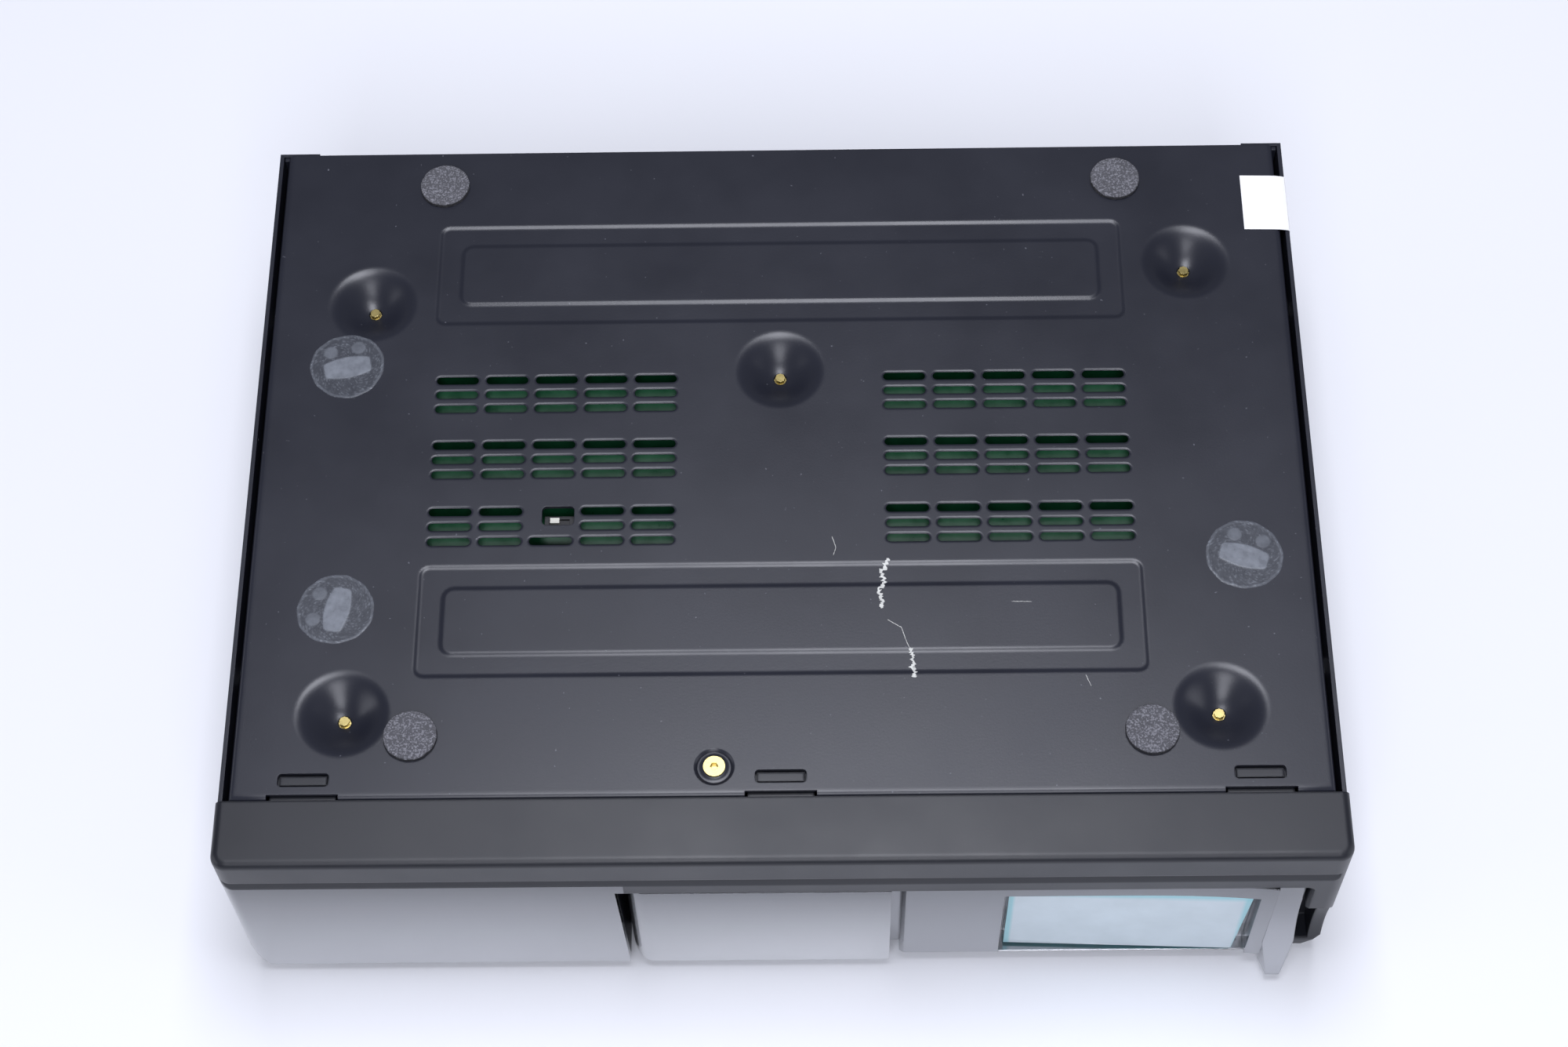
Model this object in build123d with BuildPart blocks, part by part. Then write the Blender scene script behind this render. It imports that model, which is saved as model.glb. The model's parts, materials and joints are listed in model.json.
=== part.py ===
"""Six-disc changer with a side-loading magazine, lying on its top cover as it does on a bench.

The drawn steel base plate with its vents faces up (+Z), the moulded front faces -Y and the
sockets face +Y. X runs across the front. Origin: centre of the overall box, on the surface it
lies on. All sizes are in millimetres.
"""
from build123d import *
import os
from math import atan2, cos, degrees, hypot, pi, sin, sqrt

os.makedirs("parts", exist_ok=True)

# ------------------------------------------------------------------ driving dimensions
tray_size = (129.0, 125.6)         # one disc tray: across, front to rear
works_width = 124.0      # room beside the trays for the lift, the walls and their gaps
works_depth = 19.1       # room behind the trays
tray_front = 32.7        # depth of the trays' front edge behind the front face
case_height = 64.5       # table to the face of the base plate
sheet = 1.0              # steel sheet
bend = 1.4               # outside radius of a folded edge
ear_thickness = 0.8      # flanges folded round the rear corners
front_depth = 16.0       # seam to front face
front_lift = 3.8         # the front's lower edge above the table
fin_reach = 4.6          # the door's pull stands this far out of the front face
running = 0.05           # radial clearance of a shaft in its bore
slip = 0.3               # clearance between sliding plastic faces
bar_sides = 8            # small pins, rods and bores
disc_sides = 20          # larger discs and pressed bowls

screw_head = 1.6         # heads of the rear screws
rear_reach = ear_thickness + screw_head

case_width = tray_size[0] + works_width
case_depth = tray_front + tray_size[1] + works_depth       # rear edge to the seam
front_width = case_width + 1.4     # the moulded front is a little wider
total_depth = rear_reach + case_depth + front_depth + fin_reach
rear_y = total_depth / 2 - rear_reach
seam_y = rear_y - case_depth
face_y = seam_y - front_depth
wall_x = case_width / 2


def round_bore(radius):
    """Corner radius of a many-sided bore that clears a round bar of this radius."""
    return radius / cos(pi / bar_sides)


def from_rear(distance):
    """Y of a line this far in front of the rear edge."""
    return rear_y - distance


def behind(depth):
    """Y of a line this far behind the front face."""
    return face_y + depth


# ------------------------------------------------------------------ base plate (faces up)
plate_gap = 1.2          # shadow gap between plate and side wall
plate_width = case_width - 2 * (sheet + plate_gap)
flange_drop = 7.0
slot_length = 10.1
slot_width = 2.0
slot_pitch_x = 12.0
slot_pitch_y = 4.0
slot_columns = 5
slot_rows = 3
block_x = 54.0           # centre of each block of vents from the middle
group_pitch = 18.2
vent_top_row = 67.3      # first row of slots from the rear edge
switch_spot = (-52.4, 105.0)      # service opening: x, distance from the rear edge
switch_window = (7.6, 5.0)
bowl_rim = 9.4           # pressed screw bowls, radius at the plate
bowl_floor = 2.9
bowl_depth = 5.2
bowl_x = wall_x - 26.5
bowl_spots = [(-bowl_x, 45.0), (bowl_x, 35.0), (0.0, 65.0), (-bowl_x, case_depth - 21.4),
              (bowl_x, case_depth - 21.4)]
boss_screw = 1.5         # screw radius
frame_width = case_width - 83.8    # pressed stiffening frames, outside
frame_length = 29.4
channel = 6.7
press = 0.8
frame_rows = [36.8, 132.6]        # centres from the rear edge
latch_x = wall_x - 18.9  # snap latches along the front edge
latch_size = (11.6, 3.2)
latch_inset = 5.0        # centre of a latch slot behind the seam
notch_size = (16.2, 1.4)
cover_screw_x = -15.0
cover_screw_inset = 7.4
dish_radius = 4.5        # shallow dish round the cover screw
dish_depth = 0.7
ring_radius = 3.5
ring_height = 0.35
tongue_gap = 14.0        # gap in the front flange
pad_x = wall_x - 42.5
pad_rows = [10.3, case_depth - 15.4]
pad_radius = 6.2
pad_thickness = 1.3

plate_top = case_height
plate_under = case_height - sheet
latch_y = seam_y + latch_inset
cover_screw_y = seam_y + cover_screw_inset
bowl_points = [(x, from_rear(r)) for x, r in bowl_spots]
plate_mid_y = (rear_y + seam_y) / 2
vent_rows = [vent_top_row + group * group_pitch for group in range(3)]
bowl_under = plate_top - bowl_depth - sheet

# a pressed bowl: its skin below the sheet, and its hollow, about its own centre on the plate
bowl_forms = {}
bowl_run = (bowl_rim - bowl_floor) * cos(pi / disc_sides)
for bowl_form, grow, low, high in (("skin", sheet, -bowl_depth - sheet, -sheet / 2),
                                   ("hollow", 0.0, -bowl_depth, sheet)):
    with BuildPart() as bowl_part:
        with BuildSketch(Plane.XY.offset(low)):
            RegularPolygon(bowl_rim + grow, disc_sides)
        extrude(amount=high - low)
        floor_face = bowl_part.faces().sort_by(Axis.Z)[0]
        chamfer(floor_face.edges(), length=bowl_run, length2=bowl_depth, reference=floor_face)
    bowl_forms[bowl_form] = bowl_part.part

with BuildPart() as bottom_cover:
    with BuildSketch(Plane.XY.offset(plate_top - flange_drop)):
        with Locations((0, plate_mid_y)):
            Rectangle(plate_width, case_depth)
    extrude(amount=flange_drop)
    folded = bottom_cover.edges().group_by(Axis.Z)[-1].sort_by(Axis.Y)[:-1]
    fillet(folded, bend)
    with BuildSketch(Plane.XY.offset(plate_top - flange_drop)):
        with Locations((0, plate_mid_y + sheet)):
            Rectangle(plate_width - 2 * sheet, case_depth)
    extrude(amount=flange_drop - sheet, mode=Mode.SUBTRACT)
    # the side flanges stop short of the rear panel
    with Locations((0, rear_y, plate_under)):
        Box(plate_width, 2 * (sheet + slip), flange_drop,
            align=(Align.CENTER, Align.CENTER, Align.MAX), mode=Mode.SUBTRACT)
    for frame_row in frame_rows:
        with BuildSketch(Plane.XY.offset(plate_under)):
            with Locations((0, from_rear(frame_row))):
                Rectangle(frame_width, frame_length)
                Rectangle(frame_width - 2 * channel, frame_length - 2 * channel,
                          mode=Mode.SUBTRACT)
        extrude(amount=-press)
        with BuildSketch(Plane.XY.offset(plate_top)):
            with Locations((0, from_rear(frame_row))):
                Rectangle(frame_width, frame_length)
                Rectangle(frame_width - 2 * channel, frame_length - 2 * channel,
                          mode=Mode.SUBTRACT)
        extrude(amount=-press, taper=35, mode=Mode.SUBTRACT)
    # pressed bowls and their screw holes
    with Locations(*[(x, y, plate_top) for x, y in bowl_points]):
        add(bowl_forms["skin"])
        add(bowl_forms["hollow"], mode=Mode.SUBTRACT)
    with BuildSketch(Plane.XY.offset(bowl_under)):
        with Locations(*bowl_points):
            RegularPolygon(boss_screw, bar_sides)
    extrude(amount=sheet, mode=Mode.SUBTRACT)
    with BuildSketch(Plane.XY.offset(plate_under)):
        with Locations((cover_screw_x, cover_screw_y)):
            RegularPolygon(dish_radius + sheet, bar_sides)
    extrude(amount=-dish_depth)
    with BuildSketch(Plane.XY.offset(plate_top)):
        with Locations((cover_screw_x, cover_screw_y)):
            RegularPolygon(dish_radius, disc_sides)
            RegularPolygon(ring_radius, disc_sides, mode=Mode.SUBTRACT)
    extrude(amount=-dish_depth, mode=Mode.SUBTRACT)
    # the ring left standing under the screw's head lies a little below the plate
    with BuildSketch(Plane.XY.offset(plate_top)):
        with Locations((cover_screw_x, cover_screw_y)):
            RegularPolygon(ring_radius, disc_sides)
    extrude(amount=ring_height - dish_depth, mode=Mode.SUBTRACT)
    with BuildSketch(Plane.XY.offset(plate_top)):
        with Locations((cover_screw_x, cover_screw_y)):
            RegularPolygon(boss_screw + running, bar_sides)
    extrude(amount=-3, mode=Mode.SUBTRACT)
    with BuildSketch(Plane.XY.offset(plate_top)):
        for row in vent_rows:
            for side in (-1, 1):
                with Locations((side * block_x, from_rear(row + slot_pitch_y))):
                    with GridLocations(slot_pitch_x, slot_pitch_y, slot_columns, slot_rows):
                        Rectangle(slot_length, slot_width)
        switch_y = from_rear(switch_spot[1])
        with Locations((switch_spot[0], switch_y + 0.35)):
            Rectangle(slot_pitch_x + 1, 2 * slot_pitch_y - 0.2, mode=Mode.SUBTRACT)
        with Locations((switch_spot[0], switch_y)):
            Rectangle(*switch_window)
        with Locations((-latch_x, latch_y), (0, latch_y), (latch_x, latch_y)):
            Rectangle(*latch_size)
    extrude(amount=-2 * sheet, mode=Mode.SUBTRACT)
    # notches in the front edge, and a gap in its flange for the screwed tongue
    with BuildSketch(Plane.XY.offset(plate_top)):
        with Locations(*[(x, seam_y) for x in (-latch_x, 0, latch_x)]):
            Rectangle(notch_size[0], 2 * notch_size[1])
    extrude(amount=-flange_drop - 1, mode=Mode.SUBTRACT)
    with Locations((cover_screw_x, seam_y, plate_under)):
        Box(tongue_gap, 2 * sheet, flange_drop, align=(Align.CENTER, Align.CENTER, Align.MAX),
            mode=Mode.SUBTRACT)
bottom_cover.part.label = "bottom_cover"
export_step(bottom_cover.part, "parts/bottom_cover.step")

with BuildPart() as foam_pads:
    with BuildSketch(Plane.XY.offset(plate_top)):
        with Locations(*[(side * pad_x, from_rear(r)) for side in (-1, 1) for r in pad_rows]):
            RegularPolygon(pad_radius, disc_sides)
    extrude(amount=pad_thickness)
foam_pads.part.label = "foam_pads"
export_step(foam_pads.part, "parts/foam_pads.step")

# ------------------------------------------------------------------ top cover (lies on the table)
ear_width = 10.0
wall_height = case_height - 0.5
bracket_pitch_y = 100.0
bracket_pitch_z = 24.0
bracket_z = case_height / 2 - 0.25
bracket_y = from_rear(88.0)
bracket_screw = 1.65     # tapping radius of an M4 thread
nut_radius = 4.0         # over the corners of the weld nuts
nut_length = 2.2

with BuildPart() as top_cover:
    with BuildSketch(Plane.XY):
        with Locations((0, plate_mid_y)):
            Rectangle(case_width, case_depth)
    extrude(amount=wall_height)
    fillet(top_cover.edges().filter_by(Axis.Y).group_by(Axis.Z)[0], bend)
    with BuildSketch(Plane.XY.offset(sheet)):
        with Locations((0, plate_mid_y)):
            Rectangle(case_width - 2 * sheet, case_depth)
    extrude(amount=wall_height, mode=Mode.SUBTRACT)
    with Locations((-wall_x, rear_y, bend), (wall_x - ear_width, rear_y, bend)):
        Box(ear_width, ear_thickness, wall_height - bend,
            align=(Align.MIN, Align.MIN, Align.MIN))
    with BuildSketch(Plane.YZ.offset(-wall_x)):
        with Locations((bracket_y, bracket_z)):
            with GridLocations(bracket_pitch_y, bracket_pitch_z, 2, 2):
                Circle(bracket_screw)
    extrude(amount=case_width, mode=Mode.SUBTRACT)
    with BuildSketch(Plane.XZ.offset(-rear_y - ear_thickness)):
        with Locations(*[(side * (wall_x - ear_width / 2), z)
                         for side in (-1, 1) for z in (14.0, case_height - 14.0)]):
            RegularPolygon(boss_screw + running, bar_sides)
    extrude(amount=2 * ear_thickness, mode=Mode.SUBTRACT)
top_cover.part.label = "top_cover"
export_step(top_cover.part, "parts/top_cover.step")

with BuildPart() as bracket_nuts:
    for side in (-1, 1):
        with BuildSketch(Plane.YZ.offset(side * (wall_x - sheet))):
            with Locations((bracket_y, bracket_z)):
                with GridLocations(bracket_pitch_y, bracket_pitch_z, 2, 2):
                    RegularPolygon(nut_radius, 6)
                    RegularPolygon(round_bore(bracket_screw), bar_sides, mode=Mode.SUBTRACT)
        extrude(amount=-side * nut_length)
bracket_nuts.part.label = "bracket_nuts"
export_step(bracket_nuts.part, "parts/bracket_nuts.step")

# ------------------------------------------------------------------ moulded front
front_wall = 3.6         # thickness of the front face
rim = 2.4                # thickness of the surrounding walls
corner_round = 3.4       # upright corners
edge_round = 1.8         # edge between face and underside
left_taper = (4.0, 16.0)           # corner cut at the lower left: across, up
right_taper = (4.0, 5.2)
groove_top = 9.7         # trim groove below the plate's face
groove_height = 3.5
groove_depth = 1.2
fascia_thickness = 2.0
opening_left = -38.0
opening_right = front_width / 2 - 6.6
opening_draft = 1.1      # the left edge leans this much
opening_lip = 17.4       # lip of the opening below the plate's face
opening_wall = 2.0
hinge_pin = 1.5
knuckle = 4.6            # radius of the door's rounded hinge end
door_gap = 2.1           # between the opening's left edge and the hinge end
lug_height = 3.0
lug_reach = hinge_pin + 0.9        # radius of the lug round its pin
scoop_top = 30.7         # top of the finger scoop above the front's lower edge
scoop_depth = 4.3
tongue_reach = 8.6       # latch tongues under the plate
tongue_thickness = 1.8
rail_depth = 9.8         # front of the lower rail behind the front face
rail_height = 0.9

front_low = front_lift
half_front = front_width / 2
lip_z = plate_top - opening_lip
fascia_top = plate_top - groove_top - groove_height
hinge_x = opening_left + door_gap + knuckle
hinge_y = behind(knuckle)
face_plane = Plane((0, face_y, 0), x_dir=(1, 0, 0), z_dir=(0, -1, 0))

with BuildPart() as front_block:
    with BuildSketch(face_plane):
        with BuildLine():
            Polyline((-half_front, plate_top), (-half_front, front_low + left_taper[1]),
                     (-half_front + left_taper[0] * 0.3, front_low + left_taper[1] * 0.45),
                     (-half_front + left_taper[0], front_low),
                     (half_front - right_taper[0], front_low),
                     (half_front, front_low + right_taper[1]), (half_front, plate_top),
                     close=True)
        make_face()
    extrude(amount=-front_depth)
    uprights = front_block.edges().filter_by(Axis.Z).group_by(Axis.Y)[0]
    fillet(uprights, corner_round)
    upper = front_block.edges().group_by(Axis.Z)[-1].sort_by(Axis.Y)[:-1]
    fillet(upper, edge_round)

with BuildPart() as front_bezel:
    add(front_block.part)
    with BuildSketch(Plane((0, seam_y, 0), x_dir=(1, 0, 0), z_dir=(0, -1, 0))):
        with Locations((0, (plate_top + front_low) / 2)):
            Rectangle(front_width - 2 * rim - 2 * left_taper[0],
                      plate_top - front_low - 2 * rim)
        tunnel_left = opening_left - opening_wall
        with Locations((tunnel_left, 0)):
            Rectangle(front_width, lip_z + opening_wall, align=(Align.MIN, Align.MIN),
                      mode=Mode.SUBTRACT)
    extrude(amount=front_depth - front_wall, mode=Mode.SUBTRACT)
    with BuildSketch(face_plane):
        with BuildLine():
            opening_edge = Polyline((opening_left, lip_z), (opening_right, lip_z),
                                    (opening_right, front_low - 1),
                                    (opening_left + opening_draft, front_low - 1), close=True)
        opening_face = make_face()
        fillet(opening_face.vertices().group_by(Axis.Y)[-1], 2.1)
    extrude(amount=-front_depth, mode=Mode.SUBTRACT)
    with BuildSketch(Plane.YZ.offset(-half_front - 1)):
        with BuildLine():
            Polyline((face_y - 1, plate_top - groove_top), (behind(groove_depth),
                     plate_top - groove_top), (face_y, fascia_top), (face_y - 1, fascia_top),
                     close=True)
        make_face()
    extrude(amount=front_width - 1, mode=Mode.SUBTRACT)
    with Locations((-half_front - 1, face_y - 1, 0)):
        Box(half_front + 1 + opening_left + opening_draft + 1, fascia_thickness + 1, fascia_top,
            align=(Align.MIN, Align.MIN, Align.MIN), mode=Mode.SUBTRACT)
    with BuildSketch(Plane.YZ.offset(opening_right)):
        with BuildLine():
            step = Polyline((behind(3.2), front_low - 1), (behind(2.9), front_low + 3.2))
            cove = ThreePointArc(step @ 1, (behind(scoop_depth), front_low + 13),
                                 (behind(3.4), front_low + scoop_top - 6.5))
            Polyline(cove @ 1, (behind(1.0), front_low + scoop_top - 2),
                     (face_y, front_low + scoop_top), (face_y - 1, front_low + scoop_top),
                     (face_y - 1, front_low - 1), step @ 0)
        make_face()
    extrude(amount=front_width, mode=Mode.SUBTRACT)
    with Locations((opening_right - 1, face_y, front_low + 4)):
        Box(4.6, 9.5, scoop_top - 8, align=(Align.MIN, Align.MIN, Align.MIN),
            mode=Mode.SUBTRACT)
    # lug that carries the door's lower hinge pin, reached from behind the knuckle
    lug_root = hinge_x - opening_left - opening_draft
    with BuildSketch(Plane.XY.offset(front_low)):
        with Locations((hinge_x, hinge_y)):
            Circle(lug_reach)
            Rectangle(2 * lug_reach, front_depth - knuckle - 1,
                      align=(Align.CENTER, Align.MIN))
        with Locations((hinge_x + lug_reach, seam_y - 1)):
            Rectangle(lug_root + 3.5, 3.4, align=(Align.MAX, Align.MAX))
    extrude(amount=lug_height)
    for pin_z in (front_low, lip_z):
        with BuildSketch(Plane.XY.offset(pin_z)):
            with Locations((hinge_x, hinge_y)):
                RegularPolygon(round_bore(hinge_pin), bar_sides)
        extrude(amount=max(lug_height, opening_wall), mode=Mode.SUBTRACT)
    # rail behind the door's lower edge
    with Locations((opening_left, seam_y, front_low)):
        Box(opening_right - opening_left, front_depth - rail_depth, rail_height,
            align=(Align.MIN, Align.MAX, Align.MIN))
    # latch tongues and the screwed tongue, which slide under the base plate
    for tongue_x, tongue_width in ((-latch_x, 15.0), (0, 15.0), (latch_x, 15.0)):
        with Locations((tongue_x, seam_y - 3, plate_under - sheet / 2)):
            Box(tongue_width, tongue_reach + 3, tongue_thickness,
                align=(Align.CENTER, Align.MIN, Align.MAX))
        with Locations((tongue_x, latch_y, plate_under - sheet / 2)):
            Box(latch_size[0] - 1, latch_size[1] - 1, sheet,
                align=(Align.CENTER, Align.CENTER, Align.MIN))
    with Locations((cover_screw_x, seam_y - 3, plate_under - dish_depth)):
        Box(13.0, cover_screw_inset + 8, 3.0, align=(Align.CENTER, Align.MIN, Align.MAX))
    with BuildSketch(Plane.XY.offset(plate_under)):
        with Locations((cover_screw_x, cover_screw_y)):
            RegularPolygon(boss_screw, bar_sides)
    extrude(amount=-8, mode=Mode.SUBTRACT)
front_bezel.part.label = "front_bezel"
export_step(front_bezel.part, "parts/front_bezel.step")

with BuildPart() as fascia_panel:
    add(front_block.part)
    with Locations((-half_front - 1, face_y - 1, 0)):
        Box(half_front + 1 + opening_left + opening_draft + 1, fascia_thickness + 1, fascia_top,
            align=(Align.MIN, Align.MIN, Align.MIN), mode=Mode.INTERSECT)
    with BuildSketch(face_plane):
        add(opening_face)
    extrude(amount=-front_depth, mode=Mode.SUBTRACT)
fascia_panel.part.label = "fascia_panel"
export_step(fascia_panel.part, "parts/fascia_panel.step")

# ------------------------------------------------------------------ door
door_right = opening_right - 0.7
door_depth = 8.9         # back of the door behind the front face
block_right = 24.8
block_thickness = 2.0
panel_step = 27.2        # left edge of the dark panel
panel_recess = 1.2
fin_left = door_right - 7.3
sweep_start = fin_left - 36.6      # the panel sweeps forward from here to the pull
window_right = fin_left - 4.8
window_left = window_right - 55.8
window_low = 6.4
window_high = lip_z - 8.1
window_thickness = 3.0
window_lean = (3.1, 1.1)           # depth of its face at the left and right edge
backing_thickness = 0.8
window_margin = 1.3
door_low = front_low
door_high = lip_z - 0.5
pin_length = 7.0

lean = (window_lean[1] - window_lean[0]) / (window_right - window_left)
inner_knuckle = knuckle - block_thickness


def window_depth(x, layer=0.0):
    """Depth of the leaning window face at x, or of a layer behind it."""
    return window_lean[0] + lean * (x - window_left) + layer


with BuildPart() as door_panel:
    with BuildSketch(Plane.XY.offset(door_low)):
        with BuildLine():
            round_end = ThreePointArc(
                (hinge_x, behind(block_thickness)),
                (hinge_x - inner_knuckle * sin(pi / 4), hinge_y - inner_knuckle * cos(pi / 4)),
                (hinge_x - inner_knuckle, hinge_y))
            sweep_line = Spline((sweep_start, behind(panel_recess)), (fin_left, behind(-0.4)),
                                tangents=((1, 0), (1, -0.12)))
            Polyline(sweep_line @ 1, (door_right, behind(-0.4)), (door_right, behind(door_depth)),
                     (hinge_x, behind(door_depth)), (hinge_x - inner_knuckle, hinge_y + 1.5),
                     round_end @ 1)
            Polyline(round_end @ 0, (block_right, behind(block_thickness)),
                     (block_right, behind(5.0)), (panel_step, behind(5.0)),
                     (panel_step, behind(panel_recess + 1.0)),
                     (panel_step + 1.0, behind(panel_recess)), sweep_line @ 0)
        make_face()
    extrude(amount=door_high - door_low)
    # lower front edge, bevelled
    with BuildSketch(Plane.YZ.offset(panel_step)):
        with BuildLine():
            Polyline((face_y - 1, door_low), (face_y - 1, door_low + 3.2),
                     (behind(panel_recess + 1.6), door_low), close=True)
        make_face()
    extrude(amount=fin_left - panel_step, mode=Mode.SUBTRACT)
    # pocket for the window and its backing
    with BuildSketch(Plane.XY.offset(window_low - window_margin)):
        with BuildLine():
            left = window_left - window_margin
            right = window_right + window_margin
            layer = window_thickness + backing_thickness
            Polyline((left, face_y - 2), (left, behind(window_depth(left, layer))),
                     (right, behind(window_depth(right, layer))), (right, face_y - 2),
                     close=True)
        make_face()
    extrude(amount=window_high - window_low + 2 * window_margin, mode=Mode.SUBTRACT)
    # the pull: a dished face that runs out into a fin at the lower edge
    with Locations((fin_left, face_y - 2, door_low)):
        Box(door_right - fin_left + 1, door_depth + 2.01, door_high - door_low,
            align=(Align.MIN, Align.MIN, Align.MIN), mode=Mode.SUBTRACT)
with BuildPart() as pull_fin:
    with BuildSketch(Plane.YZ.offset(fin_left - 0.01)):
        with BuildLine():
            dish = Spline((behind(-fin_reach), door_low), (behind(-1.6), door_low + 6.8),
                          (behind(2.4), door_low + 18), (behind(3.4), door_low + 30),
                          (behind(3.0), door_high))
            Polyline(dish @ 1, (behind(door_depth), door_high), (behind(door_depth), door_low),
                     dish @ 0)
        make_face()
    extrude(amount=door_right - fin_left)
    with BuildSketch(Plane.XY.offset(door_low)):
        with BuildLine():
            Polyline((fin_left - 0.01, behind(door_depth)), (fin_left - 0.01, behind(-0.4)),
                     (fin_left + 1.5, behind(-fin_reach)), (door_right - 2.5, behind(-fin_reach)),
                     (door_right, behind(0)), (door_right, behind(door_depth)), close=True)
        make_face()
    extrude(amount=door_high - door_low, mode=Mode.INTERSECT)
with BuildPart() as door_shell:
    add(door_panel.part)
    add(pull_fin.part)
    # hinge bores and the clearance round the lower lug
    with BuildSketch(Plane.XY.offset(door_low)):
        with Locations((hinge_x, hinge_y)):
            Rectangle(2 * (lug_reach + 2 * slip) + 4, 3 * door_depth)
    extrude(amount=lug_height + slip, mode=Mode.SUBTRACT)
    for pin_z in (door_low + lug_height, door_high):
        with BuildSketch(Plane.XY.offset(pin_z)):
            with Locations((hinge_x, hinge_y)):
                RegularPolygon(round_bore(hinge_pin + running), bar_sides)
        extrude(amount=pin_length, both=True, mode=Mode.SUBTRACT)
door_shell.part.label = "door_panel"
export_step(door_shell.part, "parts/door_panel.step")

with BuildPart() as door_block:
    with BuildSketch(Plane.XY.offset(door_low)):
        with BuildLine():
            outer = CenterArc((hinge_x, hinge_y), knuckle, 180, 90)
            inner = CenterArc((hinge_x, hinge_y), inner_knuckle, 180, 90)
            Line(outer @ 0, inner @ 0)
            Polyline(outer @ 1, (block_right, face_y), (block_right, behind(block_thickness)),
                     inner @ 1)
        make_face()
    extrude(amount=door_high - door_low)
    with BuildSketch(face_plane):
        with BuildLine():
            Polyline((hinge_x - knuckle - 1, door_low - 1), (hinge_x - knuckle - 1, door_low + 6),
                     (hinge_x - knuckle + 3, door_low), (hinge_x - knuckle + 3, door_low - 1),
                     close=True)
        make_face()
    extrude(amount=-door_depth, mode=Mode.SUBTRACT)
    # the rounded end swings past the lug
    with Locations((hinge_x, hinge_y - lug_reach - slip, door_low)):
        Box(2 * knuckle + 2, 2 * knuckle, 2 * (lug_height + slip),
            align=(Align.CENTER, Align.MIN, Align.CENTER), mode=Mode.SUBTRACT)
door_block.part.label = "door_block"
export_step(door_block.part, "parts/door_block.step")

with BuildPart() as door_window:
    with BuildSketch(Plane.XY.offset(window_low)):
        with BuildLine():
            Polyline((window_left, behind(window_depth(window_left))),
                     (window_right, behind(window_depth(window_right))),
                     (window_right, behind(window_depth(window_right, window_thickness))),
                     (window_left, behind(window_depth(window_left, window_thickness))),
                     close=True)
        make_face()
    extrude(amount=window_high - window_low)
    with BuildSketch(face_plane):
        with BuildLine():
            Polyline((window_right - 1.8, window_low), (window_right, window_high),
                     (window_right + 1, window_high), (window_right + 1, window_low), close=True)
        make_face()
    extrude(amount=-door_depth, mode=Mode.SUBTRACT)
door_window.part.label = "door_window"
export_step(door_window.part, "parts/door_window.step")

with BuildPart() as window_backing:
    with BuildSketch(Plane.XY.offset(window_low)):
        with BuildLine():
            front_layer = window_thickness
            back_layer = window_thickness + backing_thickness
            Polyline((window_left, behind(window_depth(window_left, front_layer))),
                     (window_right, behind(window_depth(window_right, front_layer))),
                     (window_right, behind(window_depth(window_right, back_layer))),
                     (window_left, behind(window_depth(window_left, back_layer))), close=True)
        make_face()
    extrude(amount=window_high - window_low)
window_backing.part.label = "window_backing"
export_step(window_backing.part, "parts/window_backing.step")

with BuildPart() as door_hinge_pins:
    with Locations((hinge_x, hinge_y, front_low)):
        Cylinder(hinge_pin, lug_height + pin_length - 1,
                 align=(Align.CENTER, Align.CENTER, Align.MIN))
    with Locations((hinge_x, hinge_y, lip_z + opening_wall)):
        Cylinder(hinge_pin, opening_wall + pin_length - 1,
                 align=(Align.CENTER, Align.CENTER, Align.MAX))
door_hinge_pins.part.label = "door_hinge_pins"
export_step(door_hinge_pins.part, "parts/door_hinge_pins.step")

# ------------------------------------------------------------------ rear panel and sockets
board_thickness = 1.6
board_half = wall_x - 21.5
board_rear = 2.5         # rear edge of the board from the rear of the case
board_front = case_depth - 12.4
socket_clearance = 0.4
control_socket_x = 78.0
control_socket_size = (18.0, 14.0, 17.0)
control_socket_bore = 6.6
av_socket_x = 38.0
av_socket_size = (36.0, 12.0, 12.0)
power_socket_x = 2.0
power_socket_size = (16.0, 12.0, 12.0)
socket_wall = 1.6
socket_hollow = 8.5

board_top = bowl_under
board_under = board_top - board_thickness
ear_x = wall_x - ear_width / 2
ear_rows = (14.0, case_height - 14.0)
panel_half = wall_x - sheet - 0.2

with BuildPart() as rear_panel:
    with Locations((0, rear_y, sheet)):
        Box(2 * panel_half, sheet, plate_under - sheet,
            align=(Align.CENTER, Align.MAX, Align.MIN))
    with Locations((0, rear_y, plate_under)):
        Box(2 * panel_half - 2 * sheet - 2, 6.0, sheet,
            align=(Align.CENTER, Align.MAX, Align.MAX))
    for socket_x, size in ((control_socket_x, control_socket_size),
                           (av_socket_x, av_socket_size),
                           (power_socket_x, power_socket_size)):
        with Locations((socket_x, rear_y, board_under + socket_clearance)):
            Box(size[0] + 2 * socket_clearance, 3 * sheet, size[2] + 2 * socket_clearance,
                align=(Align.CENTER, Align.CENTER, Align.MAX), mode=Mode.SUBTRACT)
    with BuildSketch(Plane.XZ.offset(-rear_y)):
        with Locations(*[(side * ear_x, z) for side in (-1, 1) for z in ear_rows]):
            RegularPolygon(boss_screw, bar_sides)
        with Locations((-wall_x / 2, bracket_z)):
            with GridLocations(slot_pitch_x, slot_pitch_y, 4, 2):
                Rectangle(slot_length, slot_width)
    extrude(amount=-3 * sheet, both=True, mode=Mode.SUBTRACT)
rear_panel.part.label = "rear_panel"
export_step(rear_panel.part, "parts/rear_panel.step")

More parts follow.
